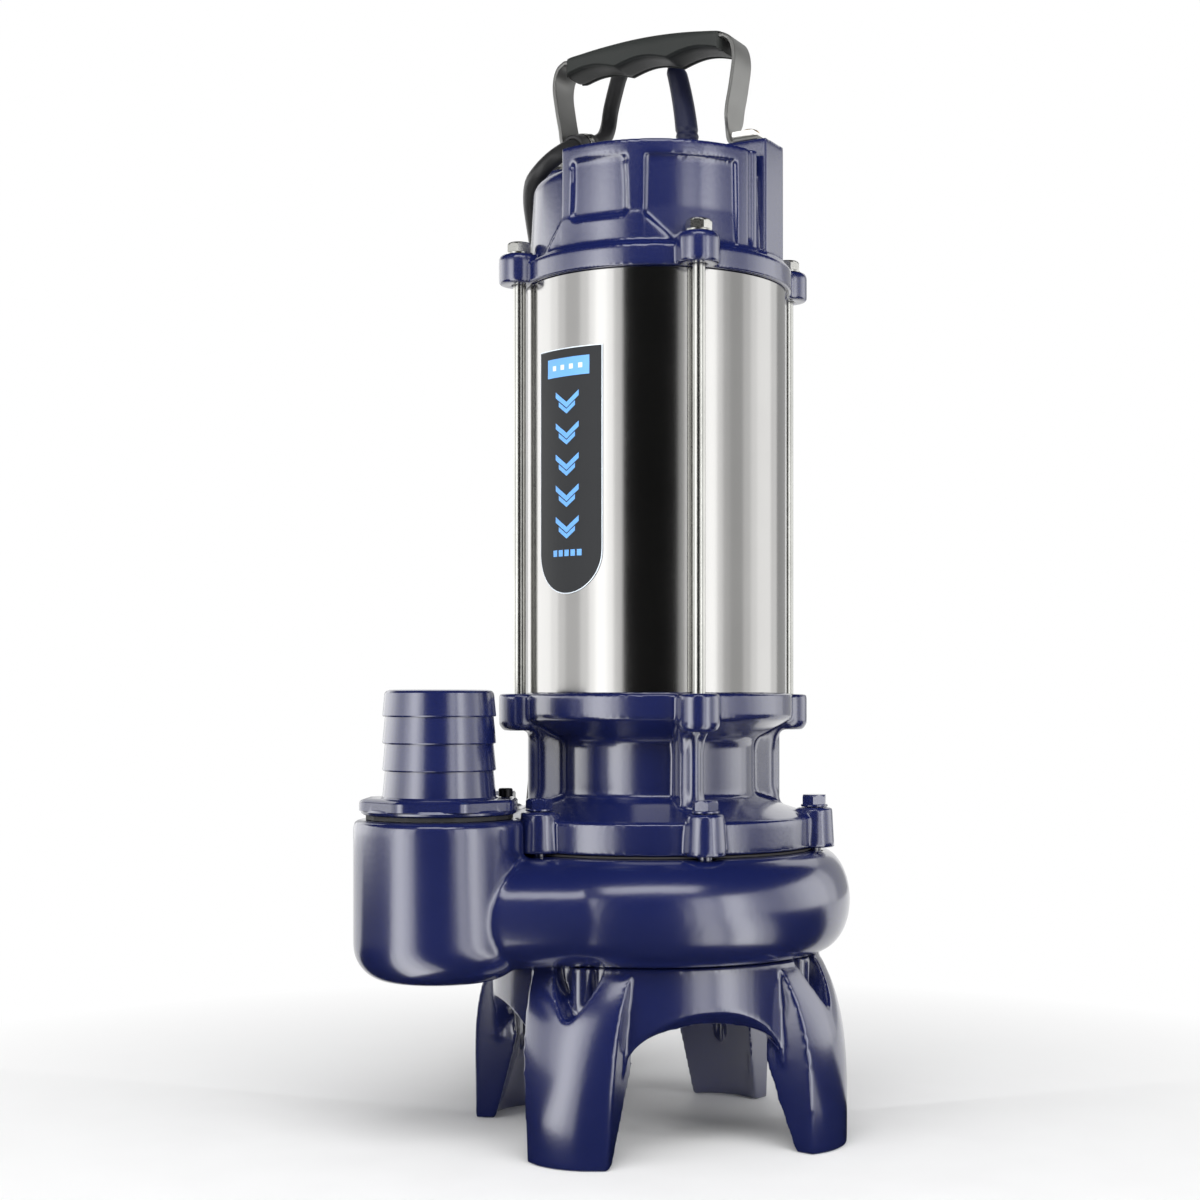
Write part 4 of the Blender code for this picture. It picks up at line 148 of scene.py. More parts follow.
boot_low, boot_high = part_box("cable_boot")
boot_tip = AXIS + BOOT_TIP + Vector((0.0, 0.0, boot_high.z))
hank_top = HANK_FLOOR + LEAD_DIAMETER * HANK_LAYERS
plug_axis_z = hank_top + PLUG_RADIUS + PLUG_GAP
away = (AXIS + Vector(LEAD_UP[0]) - boot_tip).normalized()
through_clamp = [CLAMP_MIDDLE + CLAMP_HEADING * reach for reach in (-0.0104, -0.0045, 0.0013, 0.0091, 0.0156)]
to_plug = [HANK_MIDDLE + Vector(point) for point in (
    (-0.0290, -0.070, hank_top + 0.0093), (-0.0225, -0.055, hank_top + 0.0125),
    (-0.0110, -0.039, hank_top + 0.0160), (-0.0025, -0.024, plug_axis_z - 0.0006),
    (0.0, PLUG_TAIL_Y, plug_axis_z))]
lead_seen = [AXIS + Vector(point) for point in LEAD_UP] + [AXIS + point for point in through_clamp]
lead_seen += [AXIS + Vector(point) for point in LEAD_DOWN]
lead_route = [boot_tip - away * 0.0005] + lead_seen + [AXIS + point for point in hank_turns() + to_plug]
lead_line = eased(lead_route, 3)
lead_curve = bpy.data.curves.new("power_lead", "CURVE")
lead_curve.dimensions = "3D"
lead_curve.bevel_depth = 1.0  # each point's own radius gives the thickness
lead_curve.bevel_resolution = 4
lead_curve.use_fill_caps = True
lead_spline = lead_curve.splines.new("POLY")
lead_spline.points.add(len(lead_line) - 1)
for place, point in zip(lead_spline.points, lead_line):
    place.co = (*point, 1.0)
    place.radius = LEAD_DIAMETER / 2
lead_spline.use_smooth = True
power_lead = bpy.data.objects.new("power_lead", lead_curve)
bpy.context.scene.collection.objects.link(power_lead)
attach(power_lead, "pump")
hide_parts("power_cable", "cable_hank")


def finish(name, colour, roughness, metallic=0.0, grain=200.0, grain_depth=0.02, uneven=0.06, coat=0.0):
    """Surface with slight colour and gloss changes and a fine grain, measured in metres."""
    material = bpy.data.materials.new(name)
    material.use_nodes = True
    nodes = material.node_tree.nodes
    links = material.node_tree.links
    shader = nodes["Principled BSDF"]
    shader.inputs["Metallic"].default_value = metallic
    shader.inputs["Coat Weight"].default_value = coat
    shader.inputs["Coat Roughness"].default_value = 0.12
    place = nodes.new("ShaderNodeTexCoord")
    cloud = nodes.new("ShaderNodeTexNoise")
    cloud.inputs["Scale"].default_value = 22.0
    cloud.inputs["Detail"].default_value = 4.0
    links.new(place.outputs["Object"], cloud.inputs["Vector"])
    tint = nodes.new("ShaderNodeValToRGB")
    tint.color_ramp.elements[0].position = 0.3
    tint.color_ramp.elements[1].position = 0.7
    tint.color_ramp.elements[0].color = (*[part * (1 - uneven) for part in colour], 1.0)
    tint.color_ramp.elements[1].color = (*[min(1.0, part * (1 + uneven)) for part in colour], 1.0)
    links.new(cloud.outputs["Fac"], tint.inputs["Fac"])
    links.new(tint.outputs["Color"], shader.inputs["Base Color"])
    gloss = nodes.new("ShaderNodeMapRange")
    gloss.inputs["To Min"].default_value = roughness * 0.85
    gloss.inputs["To Max"].default_value = min(1.0, roughness * 1.15)
    links.new(cloud.outputs["Fac"], gloss.inputs["Value"])
    links.new(gloss.outputs["Result"], shader.inputs["Roughness"])
    fine = nodes.new("ShaderNodeTexNoise")
    fine.inputs["Scale"].default_value = grain
    fine.inputs["Detail"].default_value = 3.0
    links.new(place.outputs["Object"], fine.inputs["Vector"])
    bump = nodes.new("ShaderNodeBump")
    bump.inputs["Strength"].default_value = grain_depth
    bump.inputs["Distance"].default_value = 0.001
    links.new(fine.outputs["Fac"], bump.inputs["Height"])
    links.new(bump.outputs["Normal"], shader.inputs["Normal"])
    return material


black_rubber = finish("black_rubber", (0.016, 0.016, 0.017), 0.42, grain=900.0, grain_depth=0.12)
lead_curve.materials.append(black_rubber)

# Base
# Cast iron ring on four splayed legs, painted navy. The ring is arched between the legs, and each leg has a
# bolt boss standing in a V-shaped recess under the casing's flange. Each casting's shapes are joined and cut,
# then skinned again in small even faces and smoothed, which leaves the soft edges and fillets of cast iron.


def clock(radius, angle, height=0.0):
    """Point round the shaft's line, in the pump's own frame."""
    return at(radius, angle, height) - AXIS


def facing(angle):
    """Turn that brings +X to a clock angle."""
    return Matrix.Rotation(math.radians(angle - 90.0), 4, "Z")


def spaced(first, count):
    """Clock angles at equal steps."""
    return [first + 360.0 * index / count for index in range(count)]


def skinned(rings, looped=False):
    """Skin rings of points; looped joins the last to the first, else both ends are closed."""
    solid = bmesh.new()
    rows = [[solid.verts.new(point) for point in ring] for ring in rings]
    count = len(rows[0])
    for lower, upper in zip(rows, rows[1:] + (rows[:1] if looped else [])):
        for index in range(count):
            after = (index + 1) % count
            solid.faces.new((lower[index], lower[after], upper[after], upper[index]))
    if not looped:
        solid.faces.new(rows[0])
        solid.faces.new(rows[-1])
    bmesh.ops.recalc_face_normals(solid, faces=solid.faces)
    return solid


def turned(profile, steps=96):
    """Turn a (radius, height) profile round the upright; one that starts and ends on it stays whole."""
    solid = bmesh.new()
    points = [solid.verts.new((radius, 0.0, height)) for radius, height in profile]
    pairs = list(zip(points, points[1:]))
    if profile[0][0] > 0.0 or profile[-1][0] > 0.0:
        pairs.append((points[-1], points[0]))
    edges = [solid.edges.new(pair) for pair in pairs]
    bmesh.ops.spin(solid, geom=points + edges, cent=(0, 0, 0), axis=(0, 0, 1), angle=2 * math.pi, steps=steps)
    bmesh.ops.remove_doubles(solid, verts=solid.verts, dist=1e-6)
    bmesh.ops.recalc_face_normals(solid, faces=solid.faces)
    return solid


def raised(outline, low, high):
    """Raise a flat outline between two heights."""
    return skinned([[(x, y, height) for x, y in outline] for height in (low, high)])


def round_outline(radius, steps=32, x=0.0, y=0.0):
    """Points of a circle."""
    turns = [2 * math.pi * index / steps for index in range(steps)]
    return [(x + radius * math.cos(turn), y + radius * math.sin(turn)) for turn in turns]


def post(radius, low, high, place=(0.0, 0.0, 0.0), steps=32):
    """Upright round bar; place gives its axis."""
    return raised(round_outline(radius, steps, place[0], place[1]), low, high)


def bar(length, width, low, high):
    """Straight bar, long in X."""
    x, y = length / 2, width / 2
    return raised([(-x, -y), (x, -y), (x, y), (-x, y)], low, high)


def placed(solid, offset=(0.0, 0.0, 0.0), turn=None):
    """Turn and then shift a shape."""
    matrix = Matrix.Translation(offset)
    bmesh.ops.transform(solid, matrix=matrix @ turn if turn else matrix, verts=solid.verts)
    return solid


def joined(*solids):
    """Several shapes in one mesh."""
    whole = bmesh.new()
    for solid in solids:
        passing = bpy.data.meshes.new("passing")
        solid.to_mesh(passing)
        whole.from_mesh(passing)
        bpy.data.meshes.remove(passing)
    return whole


def carved(solid, *cutters):
    """Take the cutters out of a shape."""
    blocks = []
    for shape in (solid, joined(*cutters)):
        mesh = bpy.data.meshes.new("blank")
        shape.to_mesh(mesh)
        blocks.append(bpy.data.objects.new("blank", mesh))
        bpy.context.scene.collection.objects.link(blocks[-1])
    cutting = blocks[0].modifiers.new("cut", "BOOLEAN")
    cutting.operation = "DIFFERENCE"
    cutting.solver = "EXACT"
    cutting.use_self = True
    cutting.object = blocks[1]
    graph = bpy.context.evaluated_depsgraph_get()
    result = bmesh.new()
    result.from_mesh(bpy.data.meshes.new_from_object(blocks[0].evaluated_get(graph)))
    for block in blocks:
        bpy.data.objects.remove(block, do_unlink=True)
    return result


def pump_piece(name, solid, material, crease=35.0):
    """Hang a finished shape on the pump as a piece."""
    mesh = bpy.data.meshes.new(name)
    solid.to_mesh(mesh)
    mesh.materials.clear()
    mesh.materials.append(material)
    mesh.shade_smooth()
    if crease:
        mesh.set_sharp_from_angle(angle=math.radians(crease))
    piece = bpy.data.objects.new(name, mesh)
    piece.location = AXIS
    bpy.context.scene.collection.objects.link(piece)
    even = piece.modifiers.new("even_gloss", "WEIGHTED_NORMAL")
    even.keep_sharp = True
    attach(piece, "pump")
    return piece


def casting(name, solid, skin, rounds, material):
    """Skin a shape in faces of one size and smooth it, so that its parts run into each other as cast."""
    rough = pump_piece(name, solid, material)
    again = rough.modifiers.new("skin", "REMESH")
    again.mode = "VOXEL"
    again.voxel_size = skin
    again.use_smooth_shade = True
    soften = rough.modifiers.new("soften", "SMOOTH")
    soften.factor = 0.5
    soften.iterations = rounds
    graph = bpy.context.evaluated_depsgraph_get()
    mesh = bpy.data.meshes.new_from_object(rough.evaluated_get(graph))
    rough.modifiers.clear()
    rough.data = mesh
    mesh.materials.clear()
    mesh.materials.append(material)
    return rough


navy_paint = finish("navy_paint", (0.0058, 0.0100, 0.064), 0.21, grain=420.0, grain_depth=0.03, uneven=0.05,
                    coat=0.6)
navy_paint.node_tree.nodes["Principled BSDF"].inputs["IOR"].default_value = 2.35
BASE_TOP = 0.1077
RING_RADIUS = 0.097
RING_WALL = 0.009
RING_PLATE = 0.009
RING_BOTTOM = 0.050
EYE_RADIUS = 0.046
LEG_ANGLES = spaced(-26.3, 4)
FOOT_REACH = 0.118
FOOT_HALF_WIDTH = 0.0252
LEG_SWELL = 3.5
LEG_HALF_WIDTH = 0.031
LEG_CURVE = 0.042
LEG_WALL = 0.0115
ARCH_HALF_WIDTH = 0.0485
ARCH_CROWN = 0.0828
ARCH_INNER_DROP = 0.0090
BOSS_CIRCLE = 0.0905
BOSS_RADIUS = 0.0072
BOSS_HEIGHT = 0.027
RECESS_REACHES = (0.0900, 0.122)
BOLT_HOLE = 0.0043
OVERRUN = 0.002


def leg_section(height):
    """Plan of a leg at one height: an outer arc, and the same arc set in by the wall."""
    share = height / (BASE_TOP - RING_PLATE / 2)
    outer = FOOT_REACH + (RING_RADIUS + 0.0015 - FOOT_REACH) * share ** LEG_SWELL
    half = FOOT_HALF_WIDTH + (LEG_HALF_WIDTH - FOOT_HALF_WIDTH) * share
    curve = LEG_CURVE + (RING_RADIUS - LEG_CURVE) * share ** 2
    spread = math.asin(half / curve)
    turns = [spread * (2 * index / 20 - 1) for index in range(21)]
    front = [(outer - curve + curve * math.cos(turn), curve * math.sin(turn), height) for turn in turns]
    inner = FOOT_REACH - LEG_WALL - (FOOT_REACH - LEG_WALL - RING_RADIUS + 0.0085) * min(1.0, share / 0.5)
    back = [(x - outer + inner, y * (1 - LEG_WALL / curve / 2), z) for x, y, z in reversed(front)]
    return front + back


def arch_outline(half, crown):
    """Edge of an arch, standing on the ring's lower edge."""
    rise = crown - RING_BOTTOM
    turns = [math.pi * index / 40 for index in range(41)]
    power = 2 / 2.6
    points = [(half * math.copysign(abs(math.cos(turn)) ** power, math.cos(turn)),
               rise * math.sin(turn) ** power) for turn in turns]
    return points + [(-half, -0.004), (half, -0.004)]


leg = skinned([leg_section((BASE_TOP - RING_PLATE / 2) * step / 24) for step in range(25)])
inside = RING_RADIUS - RING_WALL
plate_low = BASE_TOP - RING_PLATE
ring = turned([(RING_RADIUS, BASE_TOP), (RING_RADIUS, RING_BOTTOM), (inside, RING_BOTTOM), (inside, plate_low),
               (EYE_RADIUS, plate_low), (EYE_RADIUS, BASE_TOP)], 128)
arch_rings = []
for reach, narrow, drop in ((0.050, 0.003, 1.0), (inside - 0.001, 0.003, 1.0),
                            (RING_RADIUS + 0.0002, 0.0, 0.0), (FOOT_REACH, 0.0, 0.0)):
    edge = arch_outline(ARCH_HALF_WIDTH - narrow, ARCH_CROWN - ARCH_INNER_DROP * drop)
    arch_rings.append([(reach, x, RING_BOTTOM + z) for x, z in edge])
arch = skinned(arch_rings)
arches = [placed(arch.copy(), turn=facing(angle + 45.0)) for angle in LEG_ANGLES]
RECESS_SIDE = ((0.0150, 0.0020), (0.0148, -0.0010), (0.0134, -0.0080), (0.0108, -0.0150), (0.0074, -0.0210),
               (0.0036, -0.0260), (0.0008, -0.0285))
recess_edge = [(-wide, drop) for wide, drop in RECESS_SIDE]
recess_edge += [(wide, drop) for wide, drop in reversed(RECESS_SIDE)]
recess = skinned([[(reach, y, BASE_TOP + z) for y, z in recess_edge] for reach in RECESS_REACHES])
legs = [placed(leg.copy(), turn=facing(angle)) for angle in LEG_ANGLES]
recesses = [placed(recess.copy(), turn=facing(angle)) for angle in LEG_ANGLES]
body = joined(carved(ring, *arches), *legs)
leg_spots = [clock(BOSS_CIRCLE, angle) for angle in LEG_ANGLES]
bosses = [post(BOSS_RADIUS, BASE_TOP - BOSS_HEIGHT, BASE_TOP, spot) for spot in leg_spots]
bolt_holes = [post(BOLT_HOLE, -OVERRUN, BASE_TOP + OVERRUN, spot, 24) for spot in leg_spots]
body = carved(joined(carved(body, *recesses), *bosses), *bolt_holes)
cast_base = casting("cast_base", body, 0.0012, 12, navy_paint)
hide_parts("base")

# Volute casing
# One iron casting with the snail-shaped pumping chamber, its round-bottomed outlet elbow and the throat
# between them. The impeller turns in its open chamber, and slurry enters from below through the eye.
VOLUTE_BOTTOM = 0.1080
VOLUTE_TOP = 0.1670
CHAMBER_FLOOR = 0.1150
CHAMBER_ROOF = 0.1530
CHAMBER_RADIUS = 0.084
SEAT_RADIUS = 0.0875
SEAT_LEDGE = 0.1585
OUTLET = Vector((-0.1205, -0.075, 0.0))
OUTLET_RADIUS = 0.0475
OUTLET_TOP = 0.1885
OUTLET_BORE = 0.032
THROAT_HALF_WIDTH = 0.031
THROAT_HALF_HEIGHT = 0.0292
THROAT_FALL = 0.0070
SPIRAL_START = 0.104
SPIRAL_GROWTH = 0.0185
SPIRAL_RUN = 300.0
TONGUE_CLOCK = -100.0
VOLUTE_WALL = 0.007
SUCTION_RADIUS = 0.036
ELBOW_DROP = 0.0087
ELBOW_ROUND = 0.020
LOCK_SCREW_REACH = 0.0373
LOCK_SCREW_CLOCK = 105.0
LOCK_SCREW_HOLE = 0.0028
LID_BOLT_ANGLES = spaced(16.5, 6)
LID_BOLT_CIRCLE = 0.095


def spiral_radius(angle):
    """Outer reach of the snail at a clock angle; it grows from the tongue and fades inside the outlet."""
    run = (TONGUE_CLOCK - angle) % 360.0
    if run <= SPIRAL_RUN:
        return SPIRAL_START + SPIRAL_GROWTH * run / SPIRAL_RUN
    share = (360.0 - run) / (360.0 - SPIRAL_RUN)
    return SPIRAL_START + SPIRAL_GROWTH * share * share * (3 - 2 * share)


def bulge(radius, low, top_radius, high, reach, count):
    """Points of a round wall from (radius, low) out to reach and back to (top_radius, high)."""
    points = []
    for index in range(count + 1):
        turn = math.pi * (index / count - 0.5)
        start = radius + (top_radius - radius) * index / count
        points.append((start + (reach - start) * math.cos(turn),
                       (low + high) / 2 + (high - low) / 2 * math.sin(turn)))
    return points


def volute_section(angle):
    """Wall of the casing at a clock angle."""
    reach = spiral_radius(angle)
    outer = bulge(0.095, VOLUTE_BOTTOM, 0.0975, VOLUTE_TOP, reach, 22)
    rim = [(SEAT_RADIUS, VOLUTE_TOP), (SEAT_RADIUS, SEAT_LEDGE), (CHAMBER_RADIUS, SEAT_LEDGE)]
    inner = bulge(CHAMBER_RADIUS, CHAMBER_FLOOR, CHAMBER_RADIUS, CHAMBER_ROOF, reach - VOLUTE_WALL, 12)
    return outer + rim + inner[::-1] + [(SUCTION_RADIUS, CHAMBER_FLOOR), (SUCTION_RADIUS, VOLUTE_BOTTOM)]


def throat(half_width, half_height, middle, start, fall=0.0):
    """Round passage from the snail to the elbow; start is a share of its length, fall lowers its bottom."""
    start_y = -(spiral_radius(0.0) - THROAT_HALF_WIDTH - 0.0008)
    rings = []
    for index in range(9):
        share = start + (0.98 - start) * index / 8
        wide = half_width + (OUTLET_RADIUS - THROAT_HALF_WIDTH) * share * 0.1
        lower = fall / 2 * share * share
        rings.append([(OUTLET.x * share, start_y + (OUTLET.y - start_y) * share + wide * math.cos(turn),
                       middle - lower + (half_height + lower) * math.sin(turn))
                      for turn in (2 * math.pi * step / 48 for step in range(48))])
    return skinned(rings)


shell = skinned([[clock(radius, -2.5 * index, height) for radius, height in volute_section(-2.5 * index)]
                 for index in range(144)], looped=True)
elbow_profile = [(0.0, OUTLET_TOP), (OUTLET_RADIUS - 0.003, OUTLET_TOP),
                 (OUTLET_RADIUS - 0.0008, OUTLET_TOP - 0.0010), (OUTLET_RADIUS, OUTLET_TOP - 0.0032)]
elbow_bottom = VOLUTE_BOTTOM - ELBOW_DROP
for index in range(13):
    turn = math.pi / 2 * index / 12
    elbow_profile.append((OUTLET_RADIUS - ELBOW_ROUND * (1 - math.cos(turn)),
                          elbow_bottom + ELBOW_ROUND * (1 - math.sin(turn))))
elbow = placed(turned(elbow_profile + [(0.0, elbow_bottom)]), OUTLET)
chamber_middle = (CHAMBER_FLOOR + CHAMBER_ROOF) / 2
lid_bolt_spots = [clock(LID_BOLT_CIRCLE, angle) for angle in LID_BOLT_ANGLES]
outside = throat(THROAT_HALF_WIDTH, THROAT_HALF_HEIGHT, (VOLUTE_BOTTOM + VOLUTE_TOP) / 2, 0.03, THROAT_FALL)
core = post(SEAT_RADIUS + 0.0015, VOLUTE_BOTTOM - OVERRUN, VOLUTE_TOP + OVERRUN, steps=128)
passage = throat(THROAT_HALF_WIDTH - VOLUTE_WALL, CHAMBER_ROOF - chamber_middle, chamber_middle, -0.05)
drilled = [post(OUTLET_BORE, CHAMBER_FLOOR - 0.0015, OUTLET_TOP + OVERRUN, OUTLET, 64), passage]
drilled += [post(BOLT_HOLE, VOLUTE_BOTTOM - OVERRUN, VOLUTE_BOTTOM + 0.0063, spot, 24) for spot in leg_spots]
drilled += [post(BOLT_HOLE, VOLUTE_TOP - 0.007, VOLUTE_TOP + OVERRUN, spot, 24) for spot in lid_bolt_spots]
boss_room = clock(LID_BOLT_CIRCLE, LID_BOLT_ANGLES[-1])
drilled.append(post(0.0125, VOLUTE_TOP + 0.0013, OUTLET_TOP + OVERRUN, boss_room, 48))
lock_screw_spot = clock(LOCK_SCREW_REACH, LOCK_SCREW_CLOCK)
drilled.append(post(LOCK_SCREW_HOLE, OUTLET_TOP - 0.012, OUTLET_TOP + OVERRUN, OUTLET + lock_screw_spot, 16))
body = carved(joined(shell, carved(joined(elbow, outside), core)), *drilled)
volute_casing = casting("volute_casing", body, 0.0015, 14, navy_paint)
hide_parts("volute")

# Hose barb
# Cast iron hose tail with four sharp steps that grip the hose, on an eight-sided collar with a thin lip. A
# rubber ring seals it on the elbow, and a small black screw keeps it from turning.
BARB_FOOT = 0.2000
BARB_TOP = 0.2600
COLLAR_BOTTOM = 0.1913
BARB_RADIUS = 0.0315
BARB_BORE = 0.026
BARB_STEPS = 4
STEP_HEIGHT = (BARB_TOP - BARB_FOOT) / BARB_STEPS
COLLAR_BORE = 0.0262
COLLAR_HALF_FLATS = 0.0425
barb_profile = [(BARB_BORE, BARB_TOP), (BARB_RADIUS - 0.0040, BARB_TOP),
                (BARB_RADIUS - 0.0022, BARB_TOP - 0.0006), (BARB_RADIUS - 0.0012, BARB_TOP - 0.0018)]
for step in range(BARB_STEPS):
    lower = BARB_TOP - STEP_HEIGHT * (step + 1)
    barb_profile += [(BARB_RADIUS - 0.0001, lower + 0.0016), (BARB_RADIUS, lower + 0.0009)]
    if step < BARB_STEPS - 1:
        barb_profile += [(BARB_RADIUS - 0.0003, lower + 0.0003), (BARB_RADIUS - 0.0014, lower)]
barb_profile += [(BARB_RADIUS + 0.0012, BARB_FOOT), (BARB_RADIUS + 0.0012, COLLAR_BOTTOM + 0.0020),
                 (BARB_BORE, COLLAR_BOTTOM + 0.0020)]
lip_edge = ((COLLAR_BORE, 0.0038), (0.0415, 0.0038), (0.0430, 0.0030), (0.0435, 0.0018), (0.0431, 0.0007),
            (0.0420, 0.0), (COLLAR_BORE, 0.0))
lip = turned([(radius, COLLAR_BOTTOM + rise) for radius, rise in lip_edge])
corner = COLLAR_HALF_FLATS / math.cos(math.pi / 8)
facets = []
for height, reach in ((COLLAR_BOTTOM + 0.0025, 1.0), (BARB_FOOT - 0.0016, 1.0), (BARB_FOOT - 0.0005, 0.975),
                      (BARB_FOOT, 0.945)):
    ring_points = []
    for index in range(96):
        turn = 2 * math.pi * index / 96
        off = (turn - math.pi / 8) % (math.pi / 4) - math.pi / 8
        flat = min(COLLAR_HALF_FLATS / math.cos(off), corner * 0.985)
        ring_points.append((flat * reach * math.cos(turn), flat * reach * math.sin(turn), height))
    facets.append(ring_points)
nut_body = carved(skinned(facets), post(COLLAR_BORE, COLLAR_BOTTOM, BARB_FOOT + OVERRUN, steps=96))
screw_hole = post(LOCK_SCREW_HOLE, COLLAR_BOTTOM - OVERRUN, BARB_FOOT + OVERRUN, lock_screw_spot, 16)
barb_body = joined(turned(barb_profile, 128), carved(joined(lip, nut_body), screw_hole))
hose_tail = pump_piece("hose_tail", placed(barb_body, OUTLET), navy_paint, crease=28.0)
edge = hose_tail.modifiers.new("edge", "BEVEL")
edge.width = 0.00025
edge.segments = 2
edge.limit_method = "ANGLE"
edge.angle_limit = math.radians(28.0)
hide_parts("hose_barb")


def dress_node(name, material):
    """Give a node of the frame that stays as it is its finish."""
    item = bpy.data.objects[name]
    item.data.materials.clear()
    item.data.materials.append(material)


seal_rubber = finish("seal_rubber", (0.020, 0.020, 0.021), 0.60, grain=700.0, grain_depth=0.15)
dress_node("outlet_gasket", seal_rubber)
black_oxide = finish("black_oxide", (0.030, 0.030, 0.033), 0.38, metallic=1.0, grain=900.0, grain_depth=0.08)
head = [(0.0, 0.0046), (0.0012, 0.0046), (0.0012, 0.0030), (0.0021, 0.0030), (0.0021, 0.0046),
        (0.0034, 0.0046), (0.0039, 0.0041), (0.0040, 0.0034), (0.0040, 0.0), (0.0025, 0.0), (0.0025, -0.0200),
        (0.0, -0.0200)]
screw_seat = OUTLET + lock_screw_spot + Vector((0.0, 0.0, BARB_FOOT + 0.0003))
lock_screw = pump_piece("lock_screw", placed(turned(head, 32), screw_seat), black_oxide)
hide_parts("outlet_lock_screw")

# Oil chamber lid
# Waisted iron casting between casing and motor, filled with oil round the shaft seals. Six bosses at its
# foot take the casing bolts, and four ribs run up the neck to the lugs of the tie bolts.
LID_BOTTOM = 0.1686
LID_FLANGE_TOP = 0.1870
NECK_BOTTOM = 0.1970
NECK_TOP = 0.2330
RIM_BOTTOM = 0.2426
LID_TOP = 0.2580
NECK_RADIUS = 0.058
OIL_RADIUS = 0.050
OIL_TOP = 0.2258
TIE_CIRCLE = 0.083
TIE_ANGLES = spaced(16.5, 4)
TIE_HOLE = 0.0041
OIL_PLUG_CLOCK = 130.0
OIL_PLUG_HEIGHT = 0.2150
lid_profile = [
    (0.0928, LID_FLANGE_TOP), (0.0937, LID_FLANGE_TOP - 0.0004), (0.0940, LID_FLANGE_TOP - 0.0012),
    (0.0940, LID_BOTTOM), (0.0845, LID_BOTTOM), (OIL_RADIUS, LID_FLANGE_TOP), (OIL_RADIUS, OIL_TOP),
    (0.0145, OIL_TOP), (0.0145, 0.2375), (0.0238, 0.2375), (0.0238, 0.2521), (0.0328, 0.2521),
    (0.0328, 0.2425), (0.0670, 0.2425), (0.0670, 0.2640), (0.0730, 0.2640), (0.0730, 0.2610), (0.0760, 0.2610),
    (0.0760, LID_TOP),
    (0.0803, LID_TOP), (0.0808, LID_TOP - 0.0004), (0.0810, LID_TOP - 0.0012), (0.0810, RIM_BOTTOM + 0.0022),
    (0.0804, RIM_BOTTOM + 0.0009), (0.0790, RIM_BOTTOM), (0.0650, NECK_TOP + 0.0022),
    (0.0612, NECK_TOP + 0.0002),
    (0.0590, NECK_TOP - 0.0020), (NECK_RADIUS, NECK_TOP - 0.0048), (NECK_RADIUS, NECK_BOTTOM + 0.0040),
    (0.0588, NECK_BOTTOM + 0.0018), (0.0605, NECK_BOTTOM + 0.0004), (0.0650, NECK_BOTTOM - 0.0010)]
tie_spots = [clock(TIE_CIRCLE, angle) for angle in TIE_ANGLES]
rib_plan = [(0.0530, -0.0073), (0.0700, -0.0073)]
rib_plan += [(0.0700 + 0.0055 * math.sin(turn), -0.0073 * math.cos(turn)) for turn in
             (math.pi * step / 16 for step in range(1, 16))]
rib_plan += [(0.0700, 0.0073), (0.0530, 0.0073)]
rib_rings = []
for height, wide, reach in ((LID_FLANGE_TOP - 0.0020, 1.55, 0.0120), (LID_FLANGE_TOP + 0.0010, 1.20, 0.0075),
                            (NECK_BOTTOM - 0.0035, 1.04, 0.0025), (NECK_BOTTOM + 0.0060, 0.98, 0.0),
                            (NECK_TOP - 0.0090, 0.96, 0.0), (NECK_TOP - 0.0010, 1.04, 0.0008),
                            (NECK_TOP + 0.0050, 1.30, 0.0045), (RIM_BOTTOM + 0.0010, 1.55, 0.0085),
                            (RIM_BOTTOM + 0.0060, 1.60, 0.0095)):
    rib_rings.append([(x + (reach if x > 0.0600 else 0.0), y * wide, height) for x, y in rib_plan])
rib = skinned(rib_rings)
bead = post(0.0036, LID_FLANGE_TOP, RIM_BOTTOM - 0.0020, (0.0745, 0.0, 0.0), 24)
lug_profile = [(0.0, LID_TOP), (0.0105, LID_TOP), (0.0115, LID_TOP - 0.0004), (0.0120, LID_TOP - 0.0014),
               (0.0120, RIM_BOTTOM - 0.0020), (0.0108, RIM_BOTTOM - 0.0045), (0.0090, RIM_BOTTOM - 0.0060),
               (0.0, RIM_BOTTOM - 0.0060)]
LID_BOSS_TOP = 0.1920
boss_profile = [(0.0, LID_BOSS_TOP), (0.0095, LID_BOSS_TOP), (0.0102, LID_BOSS_TOP - 0.0004),
                (0.0105, LID_BOSS_TOP - 0.0013), (0.0117, 0.1700), (0.0117, 0.1688), (0.0, 0.1688)]
solids = [turned(lid_profile, 144)]
for angle in TIE_ANGLES:
    solids += [placed(rib.copy(), turn=facing(angle)), placed(bead.copy(), turn=facing(angle))]
solids += [placed(turned(lug_profile, 48), spot) for spot in tie_spots]
solids += [placed(turned(boss_profile, 48), spot) for spot in lid_bolt_spots]
plug_turn = facing(OIL_PLUG_CLOCK) @ Matrix.Rotation(math.radians(90.0), 4, "Y")
plug_boss = placed(placed(turned([(0.0, 0.0565), (0.0105, 0.0565), (0.0105, 0.0582), (0.0, 0.0582)], 40),
                          turn=plug_turn), (0.0, 0.0, OIL_PLUG_HEIGHT))
drilled = [post(TIE_HOLE, RIM_BOTTOM - 0.0120, LID_TOP + OVERRUN, spot, 24) for spot in tie_spots]
drilled += [post(BOLT_HOLE, LID_BOTTOM - OVERRUN, LID_BOSS_TOP + OVERRUN, spot, 24) for spot in lid_bolt_spots]
drilled.append(placed(placed(post(BOLT_HOLE, 0.046, 0.066, steps=24), turn=plug_turn),
                      (0.0, 0.0, OIL_PLUG_HEIGHT)))
lid_body = carved(joined(*solids, plug_boss), *drilled)
oil_chamber_lid = casting("oil_chamber_lid", lid_body, 0.0013, 4, navy_paint)
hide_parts("oil_chamber")

